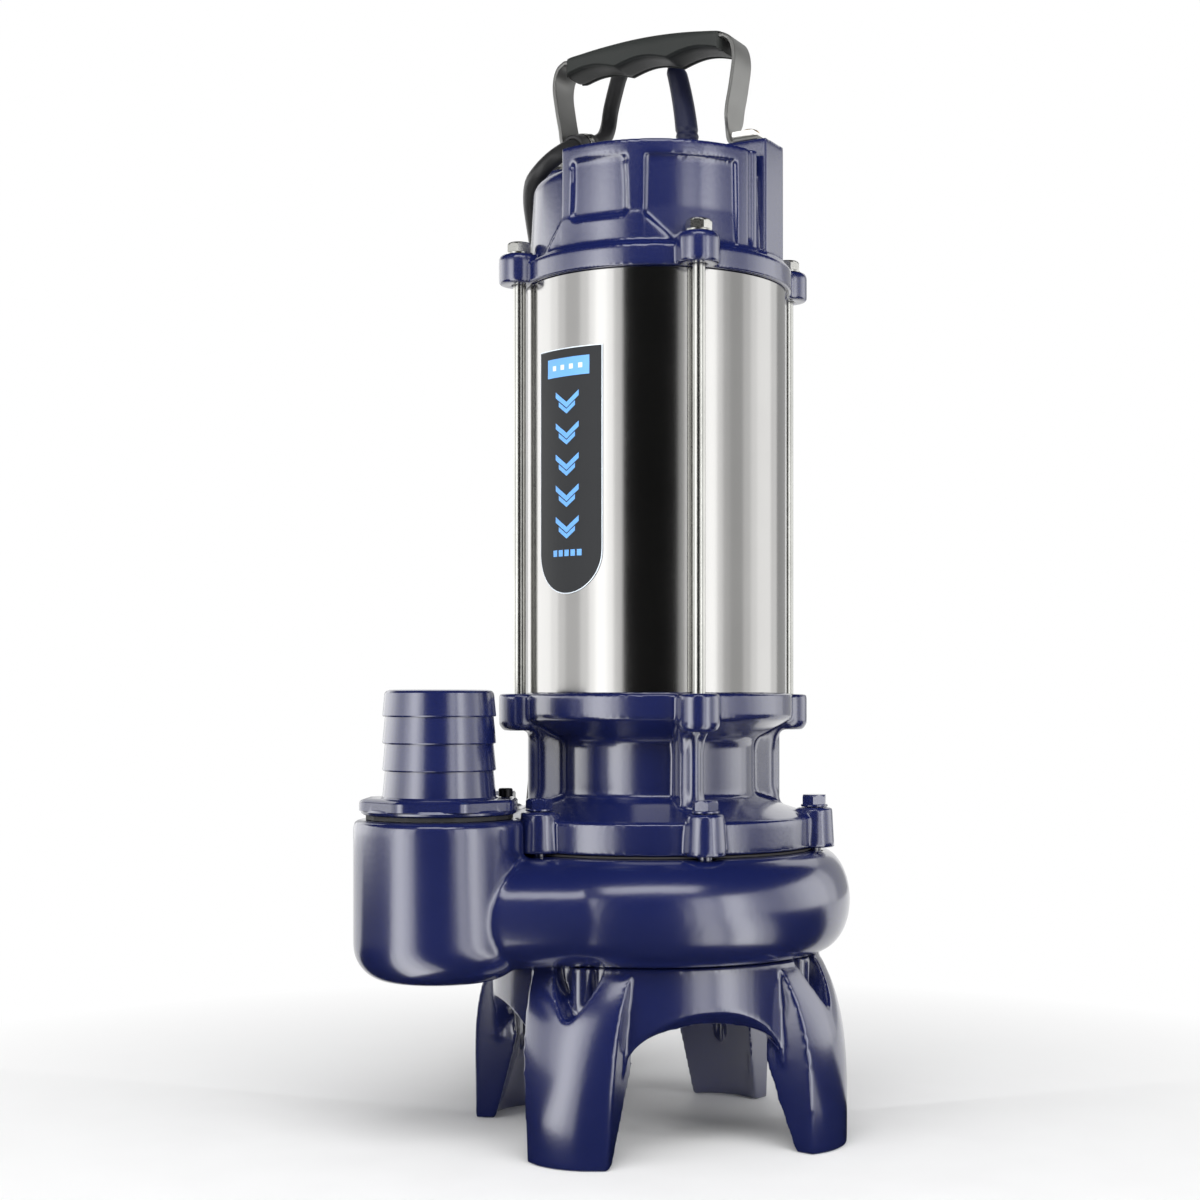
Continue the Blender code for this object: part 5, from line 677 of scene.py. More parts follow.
# Bolts
# Hexagon bolts with a plain washer under a chamfered head. The six of the casing were painted with it; the
# four long tie bolts are bright zinc, and hold the motor between lid and cover.
CASING_BOLT_LENGTH = 0.0291
TIE_SEAT = 0.5133
TIE_LENGTH = 0.2767


def hexagon_ring(flats, round_reach, level, steps=48):
    """Level ring of a hexagon whose corners are turned down to a round."""
    ring = []
    for turn in (2 * math.pi * step / steps for step in range(steps)):
        off = turn % (math.pi / 3) - math.pi / 6
        reach = min(flats / 2 / math.cos(off), round_reach)
        ring.append((reach * math.cos(turn), reach * math.sin(turn), level))
    return ring


def hexagon_bolt(radius, length, flats=0.013, washer=0.0014, washer_radius=0.0078, height=0.0056):
    """Bolt with its seat at height 0, head and washer above it and shank below."""
    corner = flats / math.sqrt(3)
    rings = [hexagon_ring(flats, corner * reach, washer + level) for level, reach in
             ((height, 0.86), (height - 0.0003, 0.91), (height - 0.0009, 0.97), (height - 0.0013, 1.0),
              (0.0004, 1.0), (0.0, 0.97))]
    for level, reach in ((washer, washer_radius - 0.0004), (washer - 0.0003, washer_radius),
                         (0.0003, washer_radius), (0.0, washer_radius - 0.0003), (0.0, radius),
                         (0.0008 - length, radius), (-length, radius - 0.0008)):
        rings.append([(x, y, level) for x, y in round_outline(reach, 48)])
    return skinned(rings)


for number, spot in enumerate(lid_bolt_spots, 1):
    seat = Vector((0.0, 0.0, LID_BOSS_TOP + 0.0003))
    bolt = placed(hexagon_bolt(0.004, CASING_BOLT_LENGTH), spot + seat, Matrix.Rotation(number * 0.7, 4, "Z"))
    casing_bolt = pump_piece(f"casing_bolt_{number}", bolt, navy_paint, crease=25.0)
    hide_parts(f"volute_bolt_{number}")
zinc = finish("zinc", (0.60, 0.60, 0.57), 0.24, metallic=1.0, grain=600.0, grain_depth=0.04, uneven=0.10)
for number, spot in enumerate(tie_spots, 1):
    seat = Vector((0.0, 0.0, TIE_SEAT))
    bolt = placed(hexagon_bolt(0.00375, TIE_LENGTH), spot + seat, Matrix.Rotation(number * 0.9, 4, "Z"))
    tie_rod = pump_piece(f"tie_rod_{number}", bolt, zinc, crease=25.0)
    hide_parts(f"tie_bolt_{number}")

# Motor jacket
# Thin tube of polished stainless steel round the stator, with its ends rolled in slightly. A rubber ring
# seals it on the spigots of lid and cover.
stainless = finish("stainless", (0.46, 0.455, 0.445), 0.14, metallic=1.0, grain=60.0, grain_depth=0.004,
                   uneven=0.02)
shell_profile = [(0.0763, 0.2583), (0.0772, 0.2583), (0.0775, 0.2588), (0.0775, 0.4948), (0.0772, 0.4953),
                 (0.0763, 0.4953)]
jacket = pump_piece("polished_jacket", turned(shell_profile, 160), stainless)
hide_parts("motor_jacket")
for name in ("lower_jacket_seal", "upper_jacket_seal"):
    dress_node(name, seal_rubber)

# Name plate
# Dark printed foil stuck on the jacket, with a rounded foot, a light edge, a pale blue panel at its head
# and blue chevrons that stand for its print.
plate_dark = finish("plate_dark", (0.020, 0.021, 0.023), 0.48, grain=500.0, grain_depth=0.03)
plate_dark.node_tree.nodes["Principled BSDF"].inputs["IOR"].default_value = 1.30
plate_blue = finish("plate_blue", (0.115, 0.330, 0.720), 0.35, grain=500.0, grain_depth=0.03)
plate_pale = finish("plate_pale", (0.62, 0.68, 0.74), 0.32, grain=500.0, grain_depth=0.03)
PLATE_MIDDLE = -40.25
PLATE_HALF = 17.75
PLATE_TOP = 0.4533
PLATE_FACE = 0.0782


def foil(stations, low, high):
    """Thin print bent round the jacket between two radii; a station is (distance along, low, high edge)."""
    rings = []
    for x, bottom, top in stations:
        angle = PLATE_MIDDLE + math.degrees(x / PLATE_FACE)
        rings.append([clock(low, angle, bottom), clock(high, angle, bottom), clock(high, angle, top),
                      clock(low, angle, top)])
    return skinned(rings)


def plate_stations(inset):
    """The plate's own shape, set in from its rim: square at the head, round at the foot."""
    half = math.radians(PLATE_HALF) * PLATE_FACE - inset
    foot = PLATE_TOP - 0.139 + math.radians(PLATE_HALF) * PLATE_FACE
    across = [-half * math.cos(math.pi * step / 36) for step in range(37)]
    return [(x, foot - math.sqrt(max(0.0, half * half - x * x)), PLATE_TOP - inset) for x in across]


def chevron(height, half, drop, thick):
    """Band that points down in the middle."""
    across = [half * (step / 12 - 1.0) for step in range(25)]
    middles = [(x, height - drop * (1 - abs(x) / half)) for x in across]
    return [(x, middle - thick / 2, middle + thick / 2) for x, middle in middles]


def panel(middle, half, low, high):
    """Level band."""
    return [(middle + half * (step / 8 - 1.0), low, high) for step in range(17)]


edge_foil = foil(plate_stations(0.0), 0.0778, PLATE_FACE - 0.00015)
face_foil = foil(plate_stations(0.0006), 0.0779, PLATE_FACE - 0.00005)
plate_edge = pump_piece("plate_edge", edge_foil, plate_pale)
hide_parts("label_plate")
pump_piece("plate_face", face_foil, plate_dark)
blue_prints = [foil(panel(0.0, 0.0160, 0.4372, 0.4478), 0.0780, PLATE_FACE)]
for height in (0.4272, 0.4097, 0.3920, 0.3744, 0.3566):
    blue_prints.append(foil(chevron(height, 0.0088, 0.0062, 0.0032), 0.0780, PLATE_FACE))
    blue_prints.append(foil(chevron(height - 0.0055, 0.0062, 0.0043, 0.0026), 0.0780, PLATE_FACE))
blue_prints += [foil(panel(0.0046 * step, 0.0016, 0.3356, 0.3392), 0.0780, PLATE_FACE)
                for step in (-2, -1, 0, 1, 2)]
pump_piece("plate_marks", joined(*blue_prints), plate_blue)
pale_prints = [foil(panel(0.0066 * step, 0.0014, 0.4411, 0.4439), 0.0781, PLATE_FACE + 0.00005)
               for step in (-1.5, -0.5, 0.5, 1.5)]
pump_piece("plate_panel_marks", joined(*pale_prints), plate_pale)

# Top cover
# Cast iron cap over the wiring room: raised frames round a shallow pocket and a bay on two sides, a pad at
# each end for the handle, four lugs for the tie bolts, and a boss and a saddle for the power lead.
COVER_BOTTOM = 0.4956
COVER_TOP = 0.5580
FLANGE_TOP = 0.5090
COVER_REACH = 0.0728
FRAME_REACH = 0.0765
FRAME_TOP = 0.5670
FRAME_ROOT = 0.0658
FRAME_LOW = 0.5075
CUT_REACH = 0.0950
POCKET_FLOOR = 0.0742
POCKET_TOP = 0.5585
PAD_TOP = 0.5755
PAD_LOW = 0.5023
PAD_ROOT = 0.040
PAD_WIDTH = 0.0240
CAVITY_RADIUS = 0.0673
CAVITY_TOP = 0.5525
HANDLE_CLOCK = 61.5
SCREW_REACHES = (0.0620, -0.0700)
SCREW_HOLE = 0.0033
BOSS_FOOT = 0.5540
SADDLE_HALF_LENGTH = 0.0045
SADDLE_HALF_WIDTH = 0.0060
GLAND = Vector((0.0197, 0.0165, 0.0))


def frame_arc(inner, outer, start, end, low, high, lean=0.0, end_lean=0.0, steps=40):
    """Part of a ring between two clock angles; the leans bring its ends in towards its top, in degrees."""
    rings = []
    for height, part in ((low, 0.0), (high, 1.0)):
        first, last = start + lean * part, end - end_lean * part
        angles = [first + (last - first) * step / steps for step in range(steps + 1)]
        rings.append([clock(outer, angle, height) for angle in angles]
                     + [clock(inner, angle, height) for angle in reversed(angles)])
    return skinned(rings)


def pocket_cutter(start, end, low, high, corner=0.0034, slope=0.0017):
    """Room of a pocket with rounded corners and walls that slope in to its floor."""
    middle, half = (start + end) / 2, math.radians(end - start) / 2 * FRAME_REACH
    rings = []
    for step in range(33):
        share = -math.cos(math.pi * step / 32)
        ring = []
        for reach, shrink in ((POCKET_FLOOR, slope), (FRAME_REACH + 0.0004, 0.0), (CUT_REACH, 0.0)):
            along = (half - shrink) * share
            into = max(0.0, corner - (half - shrink - abs(along)))
            lift = shrink + corner - math.sqrt(max(0.0, corner * corner - into * into))
            ring.append((reach, middle + math.degrees(along / FRAME_REACH), lift))
        rings.append([clock(reach, angle, low + lift) for reach, angle, lift in ring]
                     + [clock(reach, angle, high - lift) for reach, angle, lift in reversed(ring)])
    return skinned(rings)


cover_profile = [(0.0, COVER_TOP), (COVER_REACH - 0.0052, COVER_TOP),
                 (COVER_REACH - 0.0026, COVER_TOP - 0.0008),
                 (COVER_REACH - 0.0008, COVER_TOP - 0.0026), (COVER_REACH, COVER_TOP - 0.0050),
                 (0.0748, FLANGE_TOP + 0.0024), (0.0754, FLANGE_TOP + 0.0008), (0.0770, FLANGE_TOP),
                 (0.0790, FLANGE_TOP - 0.0004), (0.0801, FLANGE_TOP - 0.0010), (0.0805, FLANGE_TOP - 0.0022),
                 (0.0805, COVER_BOTTOM + 0.0006), (0.0801, COVER_BOTTOM), (0.0, COVER_BOTTOM)]
plain = turned(cover_profile, 144)
raised_frames = []
for half_turn in (0.0, 180.0):
    raised_frame = frame_arc(FRAME_ROOT, FRAME_REACH, half_turn - 44.6, half_turn + 49.0, FRAME_LOW, FRAME_TOP)
    foot = frame_arc(FRAME_ROOT, FRAME_REACH + 0.0003, half_turn - 59.0, half_turn - 6.0, FRAME_LOW, 0.5262,
                     lean=14.2)
    pocket = pocket_cutter(half_turn - 39.6, half_turn - 11.8, 0.5240, POCKET_TOP + 0.0010)
    bay = frame_arc(POCKET_FLOOR - 0.0003, CUT_REACH, half_turn - 5.4, half_turn + 37.2, COVER_BOTTOM,
                    POCKET_TOP, 0.8, 0.8)
    groove = frame_arc(FRAME_REACH - 0.0020, CUT_REACH, half_turn + 43.4, half_turn + 45.5, FLANGE_TOP + 0.0030,
                       FRAME_TOP + OVERRUN)
    fillet = frame_arc(FRAME_ROOT, FRAME_REACH - 0.0004, half_turn - 6.0, half_turn + 10.0, FRAME_LOW, 0.5255,
                       end_lean=15.4)
    raised_frames += [carved(joined(raised_frame, foot), pocket, bay, groove), fillet]
pads = []
for angle, reach in ((HANDLE_CLOCK, 0.0780), (HANDLE_CLOCK + 180.0, 0.0720)):
    pad = placed(bar(reach - PAD_ROOT, PAD_WIDTH, PAD_LOW, PAD_TOP), ((reach + PAD_ROOT) / 2, 0.0, 0.0))
    pads.append(placed(pad, turn=facing(angle)))
pads.append(post(0.0070, 0.5026, PAD_TOP, clock(SCREW_REACHES[1], HANDLE_CLOCK), 40))
lug_profile = [(0.0, 0.5130), (0.0098, 0.5130), (0.0110, 0.5126), (0.0118, 0.5114), (0.0120, 0.5090),
               (0.0120, 0.4974), (0.0114, 0.4962), (0.0100, 0.4958), (0.0, 0.4958)]
lugs = [placed(turned(lug_profile, 48), spot) for spot in tie_spots]
gland_profile = [(0.0, 0.5620), (0.0130, 0.5620), (0.0138, 0.5616), (0.0140, 0.5606), (0.0144, 0.5590),
                 (0.0160, BOSS_FOOT), (0.0, BOSS_FOOT)]
gland_boss = placed(turned(gland_profile, 48), GLAND)
clamp_turn = CLAMP_HEADING.to_track_quat("Z", "Y").to_matrix().to_4x4()
clamp_side = clamp_turn.to_3x3() @ Vector((0.0, 1.0, 0.0))
down_sign = 1.0 if clamp_side.z < 0 else -1.0
clamp_down = clamp_side * down_sign
saddle_top = CLAMP_MIDDLE + clamp_down * 0.0108
flat = Vector((CLAMP_HEADING.x, CLAMP_HEADING.y, 0.0)).normalized()
side = Vector((-flat.y, flat.x, 0.0))
saddle_slope = CLAMP_HEADING.z / CLAMP_HEADING.to_2d().length
saddle_rings = []
for level, grow in ((0.0, 1.0), (0.35, 1.05), (0.8, 1.25), (1.0, 1.6)):
    ring_points = []
    for turn in (math.pi / 2 * corner + math.pi / 10 * step for corner in range(4) for step in range(-1, 2)):
        corner_cut = 0.94 if abs(math.sin(2 * turn)) > 0.5 else 1.0
        reach = 1 / max(abs(math.cos(turn)), abs(math.sin(turn))) * corner_cut
        point = saddle_top + (flat * math.cos(turn) * SADDLE_HALF_LENGTH
                              + side * math.sin(turn) * SADDLE_HALF_WIDTH) * reach * grow
        point.z += saddle_slope * SADDLE_HALF_LENGTH * math.cos(turn) * (1 - level)
        point.z += (BOSS_FOOT - saddle_top.z) * level
        ring_points.append(point)
    saddle_rings.append(ring_points)
solid = joined(plain, *raised_frames, *pads, *lugs, gland_boss, skinned(saddle_rings))
drilled = [post(CAVITY_RADIUS, COVER_BOTTOM - OVERRUN, CAVITY_TOP, steps=96),
           post(0.0055, 0.5500, 0.5640, GLAND, 24)]
drilled += [post(TIE_HOLE, COVER_BOTTOM - OVERRUN, 0.5250, spot, 24) for spot in tie_spots]
screw_spots = [clock(reach, HANDLE_CLOCK) for reach in SCREW_REACHES]
drilled += [post(SCREW_HOLE, PAD_TOP - 0.014, PAD_TOP + OVERRUN, spot, 24) for spot in screw_spots]
top_cap = casting("top_cap", carved(solid, *drilled), 0.0011, 3, navy_paint)
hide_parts("top_cover")

# Carrying handle
# Flat steel strip bent to a bow, narrowed where it turns into its feet, and screwed down through both. A
# moulded black grip with finger hollows below is closed round its middle.
strap_steel = finish("strap_steel", (0.36, 0.36, 0.35), 0.50, metallic=1.0, grain=420.0, grain_depth=0.06,
                     uneven=0.12)
grip_plastic = finish("grip_plastic", (0.022, 0.024, 0.023), 0.50, grain=1500.0, grain_depth=0.25)
grip_plastic.node_tree.nodes["Principled BSDF"].inputs["IOR"].default_value = 1.36
STRAP_THICK = 0.0025
STRAP_WIDE = 0.022
STRAP_LOW = PAD_TOP + 0.0003 + STRAP_THICK / 2
GRIP_LEVEL = 0.6395
strap_end = [(0.0755, STRAP_LOW), (0.0690, STRAP_LOW), (0.0605, STRAP_LOW), (0.0560, STRAP_LOW + 0.0012),
             (0.0545, STRAP_LOW + 0.0060)]
rise = GRIP_LEVEL - STRAP_LOW
strap_end += [(0.0545 + 0.0060 * across_share, STRAP_LOW + rise * up) for across_share, up in
              ((0.12, 0.20), (0.30, 0.35), (0.55, 0.47), (0.75, 0.58), (1.0, 0.75), (0.90, 0.87))]
strap_end += [(0.0605 - 0.012 * across_share, GRIP_LEVEL - 0.012 * down) for across_share, down in
              ((0.24, 0.24), (0.58, 0.0))]
handle_turn = facing(HANDLE_CLOCK)
handle_shift = clock(-0.004, HANDLE_CLOCK)


def strap_half_width(x, z):
    """Half the strip's width: full along the bow and at the feet, narrow at the bend between."""
    if abs(x) > 0.0600 and z < STRAP_LOW + 0.004:
        return STRAP_WIDE / 2
    share = min(1.0, max(0.0, (z - STRAP_LOW - 0.0050) / 0.0120))
    smooth = share * share * (3 - 2 * share)
    return STRAP_WIDE / 2 * (0.60 + 0.40 * smooth)


half_line = eased([Vector((x, 0.0, z)) for x, z in strap_end], 5)
whole_line = half_line + [Vector((-point.x, 0.0, point.z)) for point in reversed(half_line)]
strap_rings = []
for index, point in enumerate(whole_line):
    before = whole_line[max(index - 1, 0)]
    after = whole_line[min(index + 1, len(whole_line) - 1)]
    heading = (after - before).normalized()
    outward = Vector((heading.z, 0.0, -heading.x))
    wide = strap_half_width(point.x, point.z)
    thick = STRAP_THICK / 2
    loop = []
    for y, n in ((-wide, -thick + 0.0007), (-wide + 0.0003, -thick + 0.0002), (-wide + 0.0009, -thick),
                 (wide - 0.0009, -thick), (wide - 0.0003, -thick + 0.0002), (wide, -thick + 0.0007),
                 (wide, thick - 0.0007), (wide - 0.0003, thick - 0.0002), (wide - 0.0009, thick),
                 (-wide + 0.0009, thick), (-wide + 0.0003, thick - 0.0002), (-wide, thick - 0.0007)):
        loop.append(point + outward * n + Vector((0.0, y, 0.0)))
    strap_rings.append(loop)
strap_solid = placed(skinned(strap_rings), handle_shift, handle_turn)
screw_holes = [post(SCREW_HOLE, STRAP_LOW - 0.004, STRAP_LOW + 0.004, spot, 24) for spot in screw_spots]
bow = pump_piece("handle_bow", carved(strap_solid, *screw_holes), strap_steel)
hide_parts("handle_strap")
GRIP_HALF = 0.052
GRIP_HALF_WIDTH = 0.0130
SLOT_GAP = 0.0003
grip_rings = []
for index in range(61):
    share = index / 30 - 1.0
    x = GRIP_HALF * share
    end = min(1.0, (1.0 - abs(share)) / 0.07)
    round_end = math.sqrt(max(0.0, 1 - (1 - end) ** 2)) * 0.22 + 0.78
    crown = 0.0035 + 0.0055 * (1 - share * share)
    wave = abs(math.sin(math.pi * 1.5 * (share + 1)))
    low = -0.0088 + 0.0034 * wave
    skirt = low + 0.0012
    outline = []
    for step in range(17):
        turn = math.pi * step / 16
        arch_height = crown * math.sin(turn) ** 0.8 if step not in (0, 16) else 0.0
        outline.append((-GRIP_HALF_WIDTH * math.cos(turn), arch_height * round_end))
    flank = [(GRIP_HALF_WIDTH, skirt), (0.0122, skirt - 0.0008), (0.0108, skirt - 0.0010),
             (0.0100, low + 0.0012), (0.0085, low + 0.0004), (0.0050, low)]
    outline += flank + [(-y, z) for y, z in reversed(flank)]
    grip_rings.append([(x, y * round_end, GRIP_LEVEL + z) for y, z in outline])
slot_half = STRAP_THICK / 2 + SLOT_GAP
slot_room = placed(bar(0.110, STRAP_WIDE + 2 * SLOT_GAP, -slot_half, slot_half), (0.0, 0.0, GRIP_LEVEL))
grip_solid = placed(carved(skinned(grip_rings), slot_room), handle_shift, handle_turn)
grip_moulding = pump_piece("grip_moulding", grip_solid, grip_plastic, crease=40.0)
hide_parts("handle_grip")

# Handle screws
# Domed brass screws with a cross recess, each on a white nylon block that spreads its load over the strip.
brass = finish("brass", (0.62, 0.38, 0.11), 0.30, metallic=1.0, grain=500.0, grain_depth=0.05, uneven=0.10)
nylon = finish("nylon", (0.80, 0.79, 0.76), 0.45, grain=600.0, grain_depth=0.05, uneven=0.03)
WASHER_TOP = 0.0036
WASHER_HALF_LENGTH = 0.0108
WASHER_HALF_WIDTH = 0.0070
WASHER_PLAN_SHARES = ((-1.0, -0.9), (-0.9, -1.0), (0.9, -1.0), (1.0, -0.9), (1.0, 0.9), (0.9, 1.0),
                      (-0.9, 1.0), (-1.0, 0.9))
CROSS_LENGTH = 0.0062
CROSS_WIDTH = 0.0011
seat = STRAP_LOW + STRAP_THICK / 2
for number, spot in enumerate(screw_spots, 1):
    washer_rings = []
    for level, shrink in ((0.0001, 0.0005), (0.0006, 0.0), (WASHER_TOP - 0.0006, 0.0), (WASHER_TOP, 0.0006)):
        wide, long = WASHER_HALF_WIDTH - shrink, WASHER_HALF_LENGTH - shrink
        washer_rings.append([(x * wide, y * long, seat + level) for x, y in WASHER_PLAN_SHARES])
    washer = carved(skinned(washer_rings), post(0.0034, seat - 0.002, seat + 0.006, steps=24))
    pump_piece(f"handle_washer_{number}", placed(washer, spot, handle_turn), nylon)
    top = seat + WASHER_TOP
    dome = [(0.0, top + 0.0032), (0.0030, top + 0.0029), (0.0047, top + 0.0021), (0.0056, top + 0.0010),
            (0.0058, top + 0.0002), (0.0030, top + 0.0002), (0.0030, seat - 0.0140), (0.0, seat - 0.0140)]
    cross = [placed(bar(CROSS_LENGTH, CROSS_WIDTH, top + 0.0017, top + 0.0050),
                    turn=Matrix.Rotation(math.radians(turn), 4, "Z")) for turn in (20.0, 110.0)]
    screw_solid = placed(carved(turned(dome, 40), *cross), spot)
    screw = pump_piece(f"handle_screw_head_{number}", screw_solid, brass)
    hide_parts(f"handle_screw_{number}")

# Gland, strain relief and clamp
# The lead enters through a navy gland nut with a moulded rubber sleeve above it. Before the lead turns down
# behind the pump, a steel clip on the saddle holds it in a grooved rubber bush.
navy_rubber = finish("navy_rubber", (0.008, 0.010, 0.032), 0.45, grain=800.0, grain_depth=0.12)
NUT_LOW = 0.5623
NUT_FLATS = 0.022
NUT_CORNER = 0.0127
nut_rings = [hexagon_ring(NUT_FLATS, NUT_CORNER * reach, NUT_LOW + level) for level, reach in
             ((0.0, 0.96), (0.0008, 1.0), (0.0090, 1.0), (0.0102, 0.96), (0.0108, 0.88), (0.0120, 0.80))]
gland_nut = pump_piece("gland_nut", placed(skinned(nut_rings), GLAND), navy_paint, crease=25.0)
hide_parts("cable_gland_nut")
SLEEVE_LENGTH = 0.062
boot_length = boot_high.z - boot_low.z
boot_rings = []
for step in range(63):
    share = step / 62
    radius = 0.0073 - 0.0011 * share
    if 4 < step < 24:
        radius -= 0.0006 * (step % 4 == 2) + 0.0003 * (step % 2)
    radius -= 0.0009 * max(0.0, (share - 0.96) / 0.04) + 0.0005 * max(0.0, (0.03 - share) / 0.03)
    rise = SLEEVE_LENGTH * share
    bent = min(1.0, rise / boot_length)
    middle = GLAND + (BOOT_TIP - GLAND) * bent * bent + away * max(0.0, rise - boot_length)
    boot_rings.append([(middle.x + x, middle.y + y, boot_low.z + rise) for x, y in round_outline(radius, 40)])
sleeve = pump_piece("lead_sleeve", skinned(boot_rings), navy_rubber, crease=50.0)
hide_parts("cable_boot")
bush_profile = [(0.0068, 0.0130), (0.0073, 0.0126), (0.0075, 0.0118), (0.0075, 0.0040), (0.0072, 0.0032),
                (0.0061, 0.0030), (0.0061, -0.0030), (0.0067, -0.0032), (0.0070, -0.0040), (0.0070, -0.0082),
                (0.0066, -0.0088), (0.0060, -0.0090), (0.0055, -0.0090), (0.0055, 0.0130)]
bush_solid = placed(turned(bush_profile, 48), CLAMP_MIDDLE, clamp_turn)
bush = pump_piece("clamp_bush", bush_solid, black_rubber)
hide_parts("cable_bush")
clip_band = turned([(0.0064, 0.0022), (0.0067, 0.0026), (0.0074, 0.0026), (0.0077, 0.0022), (0.0077, -0.0022),
                    (0.0074, -0.0026), (0.0067, -0.0026), (0.0064, -0.0022)], 48)
clip_foot = placed(bar(0.0060, 0.0036, -0.0023, 0.0023), (0.0, down_sign * 0.0087, 0.0))
clip = pump_piece("lead_clip", placed(joined(clip_band, clip_foot), CLAMP_MIDDLE, clamp_turn), zinc)
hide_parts("cable_clamp")

# Hank ties and plug
# Two rubber bands hold the folded lead. The moulded plug lies on top of it, ribbed for the fingers, with
# three flat brass pins.
TIE_GAP = 0.0003
TIE_BAND = 0.0012
tie_half = HANK_OUTER + LEAD_DIAMETER / 2 + TIE_GAP
tie_low = HANK_FLOOR - TIE_GAP
tie_high = hank_top + TIE_GAP


def band_outline(grow, corner_round):
    """Rounded oblong round the hank's section."""
    points = []
    for cx, cz, first in ((1, 1, 0), (-1, 1, 1), (-1, -1, 2), (1, -1, 3)):
        x = cx * (tie_half + grow - corner_round)
        z = (tie_high + grow - corner_round) if cz > 0 else (tie_low - grow + corner_round)
        points += [(x + corner_round * math.cos(turn), z + corner_round * math.sin(turn))
                   for turn in (math.pi / 2 * (first + step / 6) for step in range(7))]
    return points


def hank_band(place_y, half):
    """One band, with rounded edges."""
    rings = []
    for along, grow in ((-half, 0.0), (-half, 0.0009), (-half + 0.0004, TIE_BAND), (half - 0.0004, TIE_BAND),
                        (half, 0.0009), (half, 0.0)):
        rings.append([(HANK_MIDDLE.x + x, HANK_MIDDLE.y + place_y + along, z)
                      for x, z in band_outline(grow, TIE_BAND + grow)])
    return skinned(rings, looped=True)


front_tie = pump_piece("hank_tie_front", hank_band(-0.045, 0.004), black_rubber, crease=50.0)
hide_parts("hank_tie")
back_tie = pump_piece("hank_tie_back", hank_band(0.062, 0.004), black_rubber, crease=50.0)
plug_place = HANK_MIDDLE + Vector((0.0, 0.012, plug_axis_z))
along_y = Matrix.Rotation(math.radians(-90.0), 4, "X")
plug_profile = [(0.0, 0.0230), (0.0150, 0.0230), (0.0160, 0.0226), (0.0165, 0.0215), (PLUG_RADIUS, 0.0180),
                (PLUG_RADIUS, 0.0120)]
for step in range(6):
    top = 0.0100 - 0.0034 * step
    reach = 0.0176 - 0.0008 * step * step / 2.4
    plug_profile += [(reach, top), (reach - 0.0010, top - 0.0008), (reach - 0.0010, top - 0.0016),
                     (reach - 0.0002, top - 0.0024)]
plug_profile += [(0.0100, -0.0150), (0.0086, -0.0190), (0.0080, -0.0224), (0.0072, -0.0230), (0.0, -0.0230)]
plug_solid = placed(turned(plug_profile, 64), plug_place, along_y)
plug_body = pump_piece("plug_body", plug_solid, black_rubber)
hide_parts("plug")
PIN_CIRCLE = 0.0085
pins = []
for angle in (0.0, 120.0, 240.0):
    rings = []
    for level, shrink in ((0.0215, 0.0), (0.0405, 0.0), (0.0415, 0.0005), (0.0420, 0.0012)):
        wide, thin = 0.0031 - shrink, 0.0008 - shrink * 0.4
        rings.append([(-wide, -thin, level), (wide, -thin, level), (wide, thin, level), (-wide, thin, level)])
    pin_turn = Matrix.Rotation(math.radians(angle), 4, "Z")
    pins.append(placed(skinned(rings), clock(PIN_CIRCLE, angle + 180.0), pin_turn))
plug_pins = pump_piece("plug_pins", placed(joined(*pins), plug_place, along_y), brass, crease=20.0)

# Motor and hydraulics inside
# These pieces keep the frame's shapes: laminated stator, varnished windings, cast rotor on a ground shaft,
# ball bearings, face seals in oil, and the iron impeller.
grey_iron = finish("grey_iron", (0.19, 0.19, 0.20), 0.58, grain=500.0, grain_depth=0.25, uneven=0.15)
lamination = finish("lamination", (0.30, 0.31, 0.33), 0.48, metallic=1.0, grain=1400.0, grain_depth=0.20)
copper = finish("copper", (0.60, 0.20, 0.08), 0.34, metallic=1.0, grain=900.0, grain_depth=0.50, uneven=0.20)
ground_steel = finish("ground_steel", (0.56, 0.56, 0.56), 0.22, metallic=1.0, grain=1200.0, grain_depth=0.04)
carbon = finish("carbon", (0.045, 0.045, 0.050), 0.40, grain=900.0, grain_depth=0.05)
gasket_fibre = finish("gasket_fibre", (0.030, 0.028, 0.028), 0.80, grain=700.0, grain_depth=0.30, uneven=0.15)
cream_plastic = finish("cream_plastic", (0.70, 0.66, 0.56), 0.42, grain=700.0, grain_depth=0.06)
FINISH_OF = {
    navy_paint: ("seal_plate",),
    grey_iron: ("impeller", "upper_bearing_bracket"),
    lamination: ("stator_core", "rotor_core"),
    copper: ("upper_winding", "lower_winding"),
    ground_steel: ("shaft", "impeller_key", "impeller_nut", "seal_spring", "wave_washer", "upper_bearing_balls",
                   "lower_bearing_balls", "upper_bearing_inner_ring", "upper_bearing_outer_ring",
                   "lower_bearing_inner_ring", "lower_bearing_outer_ring"),
    carbon: ("upper_seal_seat", "lower_seal_seat", "upper_seal_head", "lower_seal_head"),
    gasket_fibre: ("volute_gasket",),
    cream_plastic: ("capacitor", "terminal_block"),
    zinc: ("capacitor_strap",),
    brass: ("oil_plug",),
}
for material, names in FINISH_OF.items():
    for name in names:
        dress_node(name, material)

